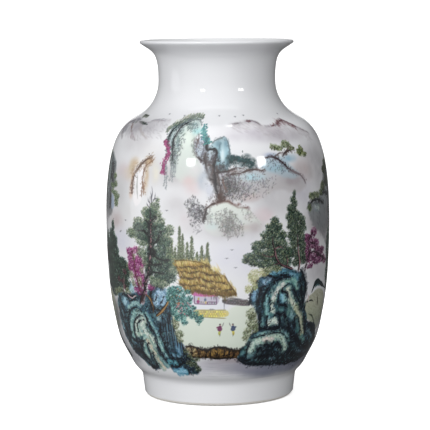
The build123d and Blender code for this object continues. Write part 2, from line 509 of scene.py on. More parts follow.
def left_range():
    """The far hills at the top left: slanting smears of grey, brown and dark olive."""
    far_ridge([(-168, 268), (-150, 272), (-134, 277), (-118, 274), (-104, 273), (-88, 276), (-66, 277)],
              (164, 160, 166), 16, (150, 146, 152))
    for u, z, length, width, tilt, shade, alpha in [
        (-134, 274, 30, 4.0, 0.05, (110, 110, 116), 0.7), (-124, 279, 20, 2.6, 0.02, (70, 78, 62), 0.9),
        (-126, 280.2, 16, 1.6, -0.05, (50, 58, 42), 0.95), (-108, 273.5, 22, 2.4, -0.1, (72, 78, 74), 0.8),
        (-104, 273, 14, 1.6, -0.12, (46, 54, 50), 0.85), (-128, 270, 12, 2.4, -0.45, (120, 96, 92), 0.75),
        (-122, 267, 10, 1.4, -0.5, (96, 72, 70), 0.7), (-112, 262, 22, 4.0, -0.5, (168, 158, 162), 0.7),
        (-98, 266, 24, 3.4, -0.4, (176, 166, 166), 0.7), (-88, 277, 18, 1.4, 0.1, (120, 116, 124), 0.6),
        (-146, 268, 22, 8.0, -0.3, (128, 128, 136), 0.7), (-142, 262, 22, 5.0, -0.4, (150, 146, 152), 0.7),
    ]:
        count = 26
        off = rng.normal(0, 0.22, (2, count))
        along = off[0] * length
        across = off[1] * width * 0.7
        dabs(u + along * math.cos(tilt) - across * math.sin(tilt),
             z + along * math.sin(tilt) + across * math.cos(tilt),
             length * 0.35, width * 0.7, tilt, jitter(shade, count, 9) - 16, alpha * 0.8, soft=True)


def waterfall():
    """A double fall between ochre banks, under an ink ledge."""
    washes([
        (-98, 230, 7, 12, (206, 192, 168), 0.9), (-92, 237, 9, 6, (198, 178, 152), 0.9),
        (-95, 210, 4, 9, (210, 184, 166), 0.8), (-75, 224, 4, 16, (192, 168, 138), 0.95),
        (-74, 239, 8, 5, (206, 182, 154), 0.9), (-64, 228, 6, 12, (226, 222, 208), 0.7),
        (-104, 226, 9, 7, (214, 204, 192), 0.7), (-94, 222, 3, 12, (184, 154, 126), 0.8),
    ], size=5)
    fill([(-91, 202), (-90, 220), (-86, 229), (-80, 237), (-79, 222), (-80, 203), (-86, 196)],
         (238, 236, 238), 0.97, edge=2.5)
    crease([(-93, 207), (-93.5, 216), (-92, 224), (-88, 231), (-82, 237), (-76, 241), (-70, 243)], 1.9,
           (70, 48, 38), 0.45, taper=(0.6, 0.3))
    crease([(-79.5, 206), (-79.5, 219), (-79, 229), (-76, 235), (-68, 241)], 1.4, (104, 72, 52), 0.45,
           taper=(0.5, 0.5))
    crease([(-77.5, 207), (-78, 219)], 1.6, (130, 94, 70), 0.5, taper=(0.5, 0.5))
    stroke([(-87, 226), (-86.5, 214), (-85, 203)], 1.6, (150, 154, 150), 0.8)
    stroke([(-89.5, 218), (-89, 206)], 0.8, (190, 190, 190), 0.8)
    lip = rng.uniform(0, 1, 90)
    strokes(-97 + 28 * lip + rng.normal(0, 2, 90), 228 + 14 * lip + rng.normal(0, 2.4, 90), 3.6, 0.7, 0.6,
            (146, 116, 88), 0.5)


def left_peak():
    """The tall pale peak with a double ink outline, scrub on its crown and a magenta strip beside it."""
    body = [(-47, 232), (-47, 246), (-47.5, 260), (-43, 271), (-33, 277), (-23, 277), (-19, 270),
            (-24, 262), (-24, 250), (-20, 242), (-16, 234), (-18, 222), (-34, 220)]
    fill(body, [(204, 204, 204), (204, 212, 207), (207, 218, 211), (196, 212, 207)], 0.95, edge=4)
    fill([(-48, 250), (-49, 262), (-45, 271), (-36, 277), (-22, 279), (-21, 282), (-36, 280), (-48, 276),
          (-56, 268), (-54, 254)], (152, 170, 170), 0.85, edge=1.5)
    washes([
        (-23, 268, 7, 5, (150, 204, 208), 0.95), (-33, 260, 8, 9, (218, 228, 220), 0.8),
        (-43, 258, 3, 12, (160, 182, 182), 0.9), (-41, 268, 5, 5, (178, 196, 194), 0.8),
        (-44, 240, 4, 14, (158, 168, 170), 0.9), (-27, 274, 7, 3, (160, 180, 184), 0.9),
        (-50, 258, 2, 9, (176, 196, 200), 0.9), (-14, 224, 8, 14, (184, 192, 202), 0.9),
        (-22, 232, 9, 8, (214, 212, 214), 0.7), (-8, 214, 6, 9, (206, 210, 220), 0.9),
        (-28, 222, 9, 7, (212, 196, 196), 0.8),
    ], size=6)
    crease([(-46.5, 238), (-47, 250), (-48, 260), (-45, 269), (-40, 274), (-33, 276.5)], 2.2, (16, 24, 28),
           0.5)
    crease([(-52, 248), (-54.5, 257), (-54, 265), (-50, 272), (-44, 276)], 2.0, (22, 34, 38), 0.5)
    crease([(-34, 277), (-27, 278), (-21, 277), (-19.5, 273)], 1.0, (96, 112, 112), 0.3)
    crown = [(-60, 267), (-57, 272), (-51, 275), (-43, 278.5), (-34, 281), (-26, 282), (-19, 280)]
    for shade, rise, alpha in [((170, 176, 156), 0.9, 0.7), ((134, 142, 124), 0.0, 0.75),
                               ((84, 98, 90), -0.9, 0.75)]:
        u, z, tilt = along_line(crown, 130, 1.2)
        dabs(u, z + rise, 2.2, 1.1, tilt + rng.normal(0.4, 0.6, 130), jitter(shade, 130, 14), alpha,
             relief=0.06)
    for shade, count, size, alpha in [((108, 34, 76), 110, 2.4, 0.9), ((158, 62, 116), 90, 1.7, 0.85)]:
        u, z, tilt = along_line([(-58, 259), (-54, 254), (-51, 249), (-53.5, 243), (-55, 236),
                                 (-55.5, 228)], count, 1.2)
        dabs(u, z, size, size * 0.6, rng.normal(1.0, 0.8, count), jitter(shade, count), alpha, relief=0.07)
    for u, high, low in [(-53.5, 240, 216), (-51.5, 236, 214), (-47, 240, 222), (-45, 248, 220),
                         (-43, 240, 226)]:
        crease([(u, high), (u + 0.4, (high + low) / 2), (u, low)], 0.9, (120, 128, 132), 0.3,
               taper=(0.3, 0.6))
    stipple([(-46, 268), (-40, 271), (-36, 262), (-38, 244), (-46, 238)], 300, (92, 102, 104))
    stipple([(-36, 274), (-24, 275), (-24, 268), (-34, 268)], 120, (96, 116, 116))
    stipple([(-27, 262), (-23, 262), (-23, 246), (-27, 248)], 70, (140, 148, 146))


def middle_crags():
    """The broken columns right of the peak, the cleft between them and the stippled slope."""
    fill([(-22, 260), (-16, 263), (-12, 260), (-11, 250), (-10, 238), (-11, 228), (-14, 236), (-20, 243),
          (-24, 248)], [(170, 176, 186), (186, 196, 208), (198, 202, 212)], 0.95, edge=2)
    fill([(-11, 250), (-2, 250), (-3, 240), (-4, 228), (-2, 216), (-8, 222), (-11, 234)],
         [(176, 166, 164), (172, 176, 180), (170, 188, 196)], 0.95, edge=1.5)
    fill([(-10, 253), (-6, 257), (0, 260), (8, 263), (11, 256), (13, 247), (12, 238), (8, 231), (0, 229),
          (-2, 238), (-1, 250)],
         [(84, 94, 98), (132, 164, 174), (156, 194, 206), (156, 186, 196), (140, 160, 168)], 0.97, edge=1.5)
    fill([(2, 229), (10, 233), (20, 236), (32, 236), (44, 235), (56, 240), (66, 238), (76, 230), (90, 222),
          (98, 214), (84, 208), (60, 212), (36, 203), (20, 203), (5, 204), (2, 216)],
         [(200, 192, 194), (182, 178, 180), (180, 186, 192), (176, 198, 206)], 0.9, edge=5, mottle=0.25)
    washes([
        (5, 246, 3, 8, (212, 230, 234), 0.8), (9, 256, 3, 5, (104, 140, 156), 0.7),
        (1, 256, 4, 4, (96, 130, 144), 0.6), (10, 243, 2, 9, (120, 156, 170), 0.8),
        (-7, 254, 4, 2, (178, 196, 204), 0.8), (30, 233, 9, 3, (214, 210, 212), 0.8),
        (34, 225, 16, 5, (178, 208, 218), 0.95), (60, 233, 14, 5, (164, 198, 210), 0.9),
        (78, 241, 12, 5, (150, 180, 198), 0.9), (56, 245, 10, 3, (176, 184, 206), 0.9),
        (15, 231, 10, 2.4, (160, 150, 150), 0.8), (80, 220, 16, 7, (158, 150, 154), 0.7),
        (10, 220, 9, 10, (146, 146, 150), 0.75), (24, 214, 14, 9, (170, 168, 172), 0.7),
        (6, 209, 5, 7, (122, 118, 119), 0.8), (-7, 232, 3, 7, (128, 116, 112), 0.6),
        (4, 235, 5, 3, (96, 100, 104), 0.8), (30, 206, 14, 5, (196, 182, 182), 0.8),
        (-3, 224, 3, 8, (104, 88, 82), 0.8),
    ], size=7)
    stipple([(4, 228), (18, 228), (28, 218), (32, 206), (20, 204), (6, 207), (4, 216)], 1000, (104, 103, 106))
    stipple([(4, 226), (14, 226), (20, 216), (14, 206), (5, 208)], 340, (76, 74, 76))
    stipple([(20, 228), (44, 228), (60, 222), (52, 210), (28, 208)], 340, (136, 134, 138))
    stipple([(-11, 220), (-4, 218), (0, 206), (-8, 204)], 170, (112, 108, 110))
    stipple([(-23, 260), (-13, 262), (-12, 244), (-21, 246)], 170, (104, 110, 122))
    stipple([(2, 240), (9, 240), (10, 231), (1, 230)], 130, (64, 68, 72))
    for block, shade in [
        ([(-11, 251), (-2, 250), (-2, 243), (-6, 239), (-11, 243)], (172, 188, 198)),
        ([(-12, 240), (-7, 238), (-5, 231), (-9, 227), (-12, 232)], (164, 166, 170)),
        ([(-23, 258), (-17, 260), (-14, 252), (-17, 245), (-23, 250)], (184, 198, 210)),
    ]:
        fill(block, shade, 0.85, edge=2.5)
        stipple(block, 60, (110, 112, 118))
    fill([(46, 239), (52, 245), (62, 245), (72, 241), (80, 233), (90, 225), (80, 221), (64, 225), (52, 230),
          (44, 234)], [(168, 184, 194), (152, 182, 198), (172, 190, 204)], 0.75, edge=4, mottle=0.4)
    stipple([(50, 242), (64, 242), (76, 232), (70, 226), (54, 232)], 150, (112, 118, 124))
    cleft, dry = (34, 30, 32), (78, 64, 62)
    for line, width, shade, bloom in [
        ([(-28, 267), (-25.5, 261), (-25, 253), (-24, 247), (-19, 243), (-13, 240)], 2.4, (52, 42, 42), 0.55),
        ([(-23, 268), (-20, 263), (-21, 257)], 1.5, (96, 80, 78), 0.4),
        ([(-24, 262), (-21, 259), (-22, 253)], 1.2, (96, 84, 84), 0.4),
        ([(-11.5, 263), (-11, 257), (-11, 251.5), (-6, 251.5), (-1.5, 250.5), (-1, 246), (-2.5, 241)], 2.2,
         (18, 22, 26), 0.5),
        ([(-12.5, 248), (-12, 240), (-10.5, 232), (-8, 225), (-4, 223)], 2.6, (52, 44, 42), 0.55),
        ([(-1, 248), (-3, 241), (-4, 233), (-2, 225), (-2.5, 217), (0.5, 209), (2, 203)], 3.0, cleft, 0.6),
        ([(-1, 236), (0.5, 226), (2.5, 216), (3.5, 206)], 1.8, (82, 72, 70), 0.5),
        ([(-1, 202), (4, 202.5), (10, 202), (15, 199.5), (20, 196.5), (29, 196.5)], 2.6, (84, 54, 48), 0.55),
        ([(-13, 195), (-7, 199.5), (0, 202.5)], 2.0, (66, 48, 44), 0.45),
        ([(1, 210), (2, 205), (4, 202.5)], 3.4, (70, 48, 42), 0.6),
        ([(-3, 230), (3, 230.5), (9, 231), (16, 233.5)], 1.7, (56, 46, 46), 0.45),
        ([(9, 227), (15, 228.5), (22, 229), (30, 231.5), (40, 232), (48, 229.5)], 1.8, dry, 0.45),
        ([(10, 231), (18, 234), (26, 233)], 1.2, dry, 0.4),
        ([(-11, 250), (-12, 244), (-9, 239), (-4, 241), (-2, 246)], 1.3, (80, 74, 78), 0.4),
        ([(-9, 237), (-5, 236), (-5, 230), (-8, 226)], 1.3, (84, 72, 70), 0.4),
        ([(-16, 258), (-14, 252), (-16, 246)], 1.2, (104, 106, 116), 0.4),
        ([(5, 226), (6, 218), (9, 212)], 1.4, (104, 84, 78), 0.4),
        ([(9, 262.5), (11.5, 256), (12.5, 248), (12, 240), (8.5, 233)], 1.4, (92, 112, 120), 0.4),
        ([(-6, 257.5), (0, 260.5), (8, 263)], 1.3, (104, 116, 120), 0.4),
        ([(3, 258), (1.5, 250), (2, 241)], 1.2, (96, 124, 134), 0.35),
        ([(49, 242.5), (57, 243), (63, 241), (69, 237), (74, 232.5), (80, 229)], 2.0, (56, 44, 48), 0.45),
        ([(76, 230), (84, 227), (91, 224), (98, 217)], 2.0, (116, 106, 110), 0.4),
        ([(70, 243), (73, 246), (79, 248), (87, 249)], 1.8, (62, 52, 54), 0.4),
        ([(60, 243), (66, 246), (72, 246.5)], 1.0, (92, 82, 82), 0.3),
        ([(29, 196.5), (33, 190), (37, 185), (42, 180)], 1.1, (150, 136, 140), 0.35),
    ]:
        crease(line, width, shade, bloom, specks=0.8)
    crease([(12.5, 239), (15, 242), (18, 243), (23, 240.5), (30, 240), (36, 236)], 4.0, (14, 36, 38), 0.6)
    count = 120
    u, z, _ = along_line([(13, 241), (18, 244), (24, 241), (31, 240), (36, 237)], count, 1.2)
    dabs(u, z, 1.9, 1.4, 0.4, jitter((20, 62, 64), count, 10), 0.95, relief=0.07)
    count = 120
    u, z, _ = along_line([(-17, 271), (-13.5, 269), (-15, 264), (-11, 260), (-10, 256)], count, 1.7)
    dabs(u, z, 2.2, 1.4, 0.4, jitter((60, 124, 126), count, 16), 0.9, relief=0.07)
    foliage([(61, 252, 4, 2.6), (68, 251, 4, 2.2), (77, 254, 6, 3.0), (84, 250.5, 4, 1.8)],
            (72, 80, 58), (124, 136, 100), (176, 184, 148), leaf=2.0)
    foliage([(94, 246, 3.5, 3), (98, 248.5, 3.5, 3), (103, 243.5, 3, 2)], (56, 64, 40), (112, 124, 78),
            (160, 170, 124), leaf=2.0)
    crease([(74, 244), (78, 249), (82, 252)], 1.3, (76, 64, 58), 0.3)
    scribble([(-24, 258), (-13, 258), (-6, 244), (-5, 226), (-9, 224), (-14, 238)], 70, (96, 88, 88),
             size=2.6)


def dome_boulder():
    """The pale dome under the cleft, and the curled dry rock at its left."""
    fill([(-12, 186), (-9, 196), (0, 200.5), (9, 202), (19, 197.5), (29, 195), (35, 188), (42, 180),
          (30, 174), (0, 170), (-12, 176)], [(204, 204, 206), (214, 220, 215), (222, 230, 222)], 0.95, edge=4)
    washes([
        (-6, 180, 8, 5, (200, 214, 214), 0.7), (24, 178, 12, 4, (196, 188, 184), 0.6),
        (9, 183, 11, 9, (180, 182, 180), 0.8), (30, 188, 6, 4, (204, 200, 200), 0.7),
        (-21, 192, 8, 14, (186, 186, 190), 0.7), (-15, 190, 3, 8, (140, 138, 140), 0.5),
        (12, 174, 12, 6, (176, 172, 174), 0.8), (36, 178, 10, 7, (186, 178, 180), 0.7),
    ], size=6)
    for patch, count, shade in [
        ([(-2, 192), (8, 195), (17, 190), (21, 181), (14, 174), (4, 176), (-2, 184)], 560, (108, 108, 106)),
        ([(4, 184), (16, 186), (24, 180), (22, 171), (8, 168), (0, 174)], 420, (132, 132, 130)),
        ([(20, 196), (30, 193), (36, 186), (28, 184)], 90, (150, 150, 146)),
        ([(-10, 190), (-5, 194), (-4, 184), (-10, 180)], 80, (150, 154, 154)),
    ]:
        stipple(patch, count, shade, 1.0, 0.6)
        scribble(patch, count // 9, shade, size=2.4, width=0.5, alpha=0.5)
    left = [(-29, 205), (-22, 207), (-16, 200), (-11, 196), (-13, 188), (-17, 182), (-26, 182), (-30, 194)]
    stipple(left, 330, (104, 104, 108), 1.2)
    scribble(left, 120, (74, 74, 78), size=3.2, width=0.6, alpha=0.75)
    scribble([(-18, 198), (-11, 197), (-12, 186), (-17, 184)], 40, (64, 60, 62), size=2.6, width=0.7)
    scribble([(-22, 184), (-16, 184), (-17, 172), (-22, 173)], 34, (130, 130, 134), size=2.4)
    crease([(-10.5, 197), (-12.5, 190), (-14.5, 184)], 1.7, (60, 54, 54), 0.45)
    crease([(-10, 183), (-9, 190), (-7, 196)], 1.0, (170, 174, 172), 0.5)


def plumes():
    """Ragged poplars behind the roof."""
    for u, top, width in [(-49, 160, 4.4), (-45.5, 165, 3.4), (-42, 159, 3.4), (-37.5, 179, 4.2),
                          (-34.5, 172, 3.6), (-30, 164, 3.8), (-25.5, 170, 4.4), (-20.5, 155, 3.4),
                          (-16, 161, 3.8), (-10.5, 164, 3.4)]:
        count = int((top - 144) * 9)
        rise = rng.random(count) ** 1.15
        z = 144 + (top - 144) * rise
        spread = 0.85 * width * (1 - 0.82 * rise)
        shade = ramp(rise, [(108, 118, 92), (132, 142, 110), (124, 134, 108)])
        dabs(u + spread * rng.normal(0, 0.42, count) + 0.5 * rise, z, 2.0, 0.9, rng.normal(1.2, 0.5, count),
             shade + rng.normal(0, 16, (count, 1)), 0.75, relief=0.05)
        count = int((top - 144) * 3.5)
        rise = rng.random(count)
        dabs(u + width * (1 - 0.8 * rise) * rng.normal(0, 0.4, count) + 0.5 * rise,
             144 + (top - 144) * rise, 1.6, 0.8,
             rng.normal(1.2, 0.6, count), jitter((58, 70, 50), count, 14), 0.85)
        stroke([(u, 144), (u + 0.2, 144 + 0.7 * (top - 144)), (u + 0.5, top + 1)], 0.8, (104, 116, 84), 0.7)
    for u in np.arange(-50, -8, 1.6):
        height = rng.uniform(3, 10)
        stroke([(u, 145), (u + 0.3, 145 + height)], 0.8, (64, 74, 56), 0.75)


def hut():
    """A thatched hut with a curtained window, on a footing of yellow stones, and a brick wall beside it."""
    fill([(-36, 119), (-36, 99), (5.5, 99.5), (6, 118)], (222, 224, 231), 0.95, rough=0.2)
    fill([(-24, 99.5), (6.5, 99.5), (7, 93), (-20, 93.5)], (206, 196, 132), 1.0, rough=0.4)
    for row, z in enumerate((98.0, 95.9, 93.9)):
        for u in np.arange(-21 + row, 6.5, 2.4):
            shade = (232, 220, 116) if rng.random() < 0.5 else (208, 194, 132)
            dabs(u + rng.normal(0, 0.3), z, 2.3, 1.8, rng.normal(0, 0.3),
                 jitter(shade, 1), 0.9, relief=0.06)
            stroke([(u - 1.2, z - 0.9), (u - 1.2, z + 0.9)], 0.45, (128, 116, 66), 0.8)
        stroke([(-22, z + 1.05), (6.8, z + 1.0)], 0.5, (134, 122, 70), 0.8, taper=(0, 0))
    stroke([(-20, 93.2), (7.5, 91.4)], 0.9, (150, 140, 88), 0.9, taper=(0.1, 0.1))
    stroke([(-24, 99.8), (7, 99.8)], 0.8, (176, 172, 140), 0.9, taper=(0, 0))
    stroke([(5.4, 100), (5.6, 116)], 0.8, (132, 134, 142), 0.9, taper=(0, 0))
    stroke([(-9.5, 100.3), (-3.5, 100.3)], 1.3, (140, 140, 140), 0.9)
    # the window
    fill([(-23.5, 105.8), (-23.5, 114), (-2, 114), (-2, 105.4)], (190, 184, 200), 1.0, rough=0.1, edge=0.6)
    for line in [[(-23.5, 105.6), (-2, 105.3)], [(-23.5, 105.6), (-23.6, 114)], [(-2, 105.3), (-1.8, 114)],
                 [(-10.5, 105.5), (-10.5, 107.5), (-2.2, 107.5)], [(-6.5, 105.5), (-6.5, 108)]]:
        stroke(line, 0.8, (96, 66, 96), 0.95, taper=(0, 0), wobble=0.1)
    for u, z, length, width, shade in [
        (-19.5, 110.6, 2.6, 1.8, (176, 158, 88)), (-20, 107.8, 3.4, 3.2, (156, 66, 116)),
        (-13, 109.6, 3.2, 2.4, (86, 104, 128)), (-12.5, 107.0, 3.0, 1.8, (196, 176, 120)),
        (-17, 107.4, 1.6, 1.4, (120, 110, 110)), (-15, 107.2, 1.4, 1.2, (150, 134, 110)),
        (-4, 106.4, 2.0, 1.2, (112, 122, 120)), (-8.5, 106.4, 1.8, 1.2, (136, 150, 140)),
    ]:
        dabs(u, z, length, width, 1.4, jitter(shade, 1, 4), 0.95, relief=0.06)
    for u in (-7, -4.6, -3.2):
        stroke([(u, 109.5), (u, 113.6)], 0.7, (92, 88, 100), 0.85)
    fill([(-24, 113.4), (-24, 118), (-2, 118), (-2, 113)], (192, 100, 160), 0.97, rough=0.5, edge=0.8)
    for u in np.arange(-22.6, -2, 2.1):
        stroke([(u, 117.6), (u + 0.4, 114)], 0.8, rng.choice([214, 176]) * np.array([1, 0.58, 0.86]), 0.7)
    # the brick wall
    fill([(5.8, 110.2), (28, 108.4), (30, 103.2), (5.8, 106)], (76, 72, 76), 0.95, rough=0.5)
    for row in range(3):
        for u in np.arange(7 + row % 2, 28, 2.6):
            z = 109.3 - 1.7 * row - 0.08 * (u - 6)
            dabs(u, z, 1.9, 0.9, -0.1, jitter((132, 126, 126), 1, 16), 0.85)
    stroke([(5.8, 111), (16, 110.6), (28, 109)], 0.9, (92, 90, 96), 0.85)
    stroke([(6, 105.6), (18, 104.2), (30, 102.8)], 0.8, (104, 100, 104), 0.8)
    thatch()


def thatch():
    """The roof, in ragged layers of straw that slant down to the right, laid from the eaves up."""
    roof = [(-42, 146), (-28, 147), (-13, 144), (-8, 139), (-3, 134.5), (2, 133.8), (5.5, 133.5), (8, 128),
            (12, 122), (17.5, 114.8), (10, 115.2), (0, 116.5), (-12, 117.2), (-26, 118), (-34, 120),
            (-38, 126), (-35, 132), (-41, 138), (-45, 143)]
    fill(roof, [(98, 76, 34), (142, 118, 60), (164, 140, 80)], 1.0, rough=1.2, size=3.0)
    for z, left, right, drop in [(117.5, -33, 17, 7.5), (123.5, -38, 13, 7.0), (130, -38, 8, 7.0),
                                 (136, -40, 1, 7.0), (141.5, -44, -8, 6.0)]:
        for shade, rise, share, alpha in [
            ((86, 66, 26), -0.6, 2.4, 0.9), (ochre, 1.4, 2.6, 0.85), ((216, 198, 136), 3.4, 1.8, 0.85)]:
            count = int(share * (right - left))
            u = rng.uniform(left, right, count)
            wave = 1.2 * np.sin(u / 8.0 + z) + 0.8 * np.sin(u / 2.7 + 2 * z) - 0.07 * (u + 12)
            dabs(u, z + rise + wave + rng.normal(0, 0.9, count), drop * rng.uniform(0.4, 1.0, count), 0.65,
                 rng.normal(1.95, 0.3, count), jitter(shade, count, 18), alpha, relief=0.06)
        count = int(0.9 * (right - left))
        u = rng.uniform(left, right, count)
        wave = 1.2 * np.sin(u / 8.0 + z) + 0.8 * np.sin(u / 2.7 + 2 * z) - 0.07 * (u + 12)
        dabs(u, z - 1.6 + wave + rng.normal(0, 0.6, count), rng.uniform(1.5, 4, count), 0.9,
             rng.normal(-0.1, 0.3, count), jitter((62, 46, 20), count), 0.8, relief=0.03)
    count = 190
    u = rng.uniform(-28, 17, count)
    dabs(u, 115.8 + 0.065 * (5 - u) + rng.normal(0, 0.8, count), 3.0, 0.9, rng.normal(1.9, 0.35, count),
         jitter((96, 72, 26), count, 12), 0.9, relief=0.05)
    crease([(-42, 146.5), (-30, 147), (-14, 144.5), (-7, 138.5), (-2, 134.5), (5, 133.5)], 1.0,
           (96, 78, 36), 0.4)
    stroke([(5.5, 133.5), (9, 127.5), (13, 121), (18, 114.6)], 1.2, (84, 64, 28), 0.85, taper=(0.1, 0.1))


def figure(u, z, robe, skirt, lean=1):
    """A tiny walker in robes, drawn in a few touches."""
    dabs(np.array([u - 0.4 * lean, u]), np.array([z - 5.2, z - 3.4]), 2.6, np.array([4.4, 3.2]), 0.0,
         jitter(skirt, 2, 5), 0.95, relief=0.08)
    stroke([(u + 0.3, z - 5.5), (u, z - 8.6)], 0.8, (84, 80, 78), 0.8)
    dabs(np.array([u, u + 0.2 * lean, u - 2.0 * lean]), np.array([z - 1.2, z + 0.8, z + 0.6]),
         np.array([5.0, 3.6, 3.0]), np.array([4.2, 3.2, 1.6]), 0.3, jitter(robe, 3, 6), 0.95, relief=0.08)
    dabs(u + 0.3 * lean, z + 3.4, 2.0, 1.8, 0.0, (62, 56, 60), 0.95, relief=0.08)
    dabs(u + 0.8 * lean, z + 2.8, 1.1, 1.0, 0.0, (206, 176, 156), 0.9)
    stroke([(u + 2.4 * lean, z + 1.2), (u + 4.2 * lean, z + 5.6)], 0.8, (98, 96, 96), 0.8)


def ground_and_bank():
    """The pale yard before the hut, and the ochre rocks along its edge."""
    fill([(-52, 92), (-48, 101), (-30, 100), (6, 99), (16, 103), (32, 103), (38, 92), (34, 80), (32, 66),
          (28, 60), (8, 61), (-8, 61.5), (-22, 61), (-36, 63), (-42, 70), (-48, 80)],
         [(204, 214, 200), (212, 220, 208), (216, 223, 212)], 0.97, edge=3, size=12)
    crest = [(-36, 62.4), (-30, 64), (-24, 62.2), (-18, 60.4), (-11, 60.4), (-6, 62.4), (2, 62.8), (9, 61.8),
             (15, 60), (26, 59.4)]
    toe = [(-34, 53), (-24, 51.5), (-16, 52), (-4, 51), (10, 51.5), (26, 51)]
    fill([*crest, *toe[::-1]], (92, 68, 38), 0.97, rough=1.2, size=3, relief=0.06)
    for u, z, half_width, half_height, shade in [
        (-33.5, 59, 4.4, 3.2, (214, 202, 166)), (-28, 60, 3.2, 2.6, (204, 188, 144)),
        (-26, 54.8, 4.2, 2.3, (182, 160, 114)), (-6.5, 57.5, 4.6, 3.0, (190, 152, 78)),
        (1, 57.6, 4.8, 2.8, (182, 144, 74)), (20, 56, 2.6, 2.2, (158, 112, 70)),
        (-17, 57, 2.6, 2.4, (160, 128, 78)), (-20, 54.4, 2.4, 1.8, (150, 126, 92)),
        (8, 56.8, 2.6, 2.4, (162, 126, 72)), (13, 55.8, 2.2, 2.4, (140, 106, 70)),
        (-12.6, 55.8, 2.0, 2.2, (150, 116, 70)),
    ]:
        patch = oval(u, z, half_width, half_height)
        fill(patch, shade, 0.92, edge=1.0, rough=1.4, size=2.5)
        scribble(patch, int(half_width * 3), (70, 50, 30), size=2.2, width=0.5)
    u, z = scatter([(-36, 62), (26, 60), (26, 52), (-34, 53)], 420)
    strokes(u, z, 2.2, 0.7, 1.5, (34, 26, 20), 0.7, spread=0.6)
    for u in (-30.5, -23, -14.5, -10, -2.4, 5.4, 10.6, 16.5, 22.5):
        crease([(u, 61), (u + 0.8, 57), (u - 0.4, 52.5)], 1.0, (26, 20, 16), 0.35)
    crease(crest, 1.5, (18, 14, 12), 0.5)
    crease(toe, 1.3, (20, 16, 14), 0.45)
    figure(1, 82, (104, 38, 78), (176, 178, 92))
    figure(14.5, 82, (62, 78, 108), (196, 184, 80), lean=-1)


def water(left=-34, right=150):
    """The violet-grey water in front of the banks."""
    washes([
        (0, 44, 30, 9, (186, 184, 192), 0.9), (28, 41, 26, 8, (160, 160, 172), 0.95),
        (60, 36, 34, 9, (128, 132, 148), 0.95), (95, 37, 34, 9, (122, 126, 142), 0.9),
        (130, 42, 28, 13, (104, 106, 122), 0.9), (20, 49, 30, 4, (170, 162, 168), 0.9),
        (-20, 40, 14, 8, (206, 206, 214), 0.7),
    ], size=20)
    u = rng.uniform(left + 20, right, 90)
    z = rng.uniform(31, 47, 90)
    strokes(u, z, 12.0, 0.5, 0.0, (150, 150, 164), 0.35, spread=0.03)


def olive_bushes(places):
    """Low grey-olive leaf clumps."""
    foliage(places, olive_dark, (142, 150, 124), (192, 200, 168), leaf=1.8, under=0.5)


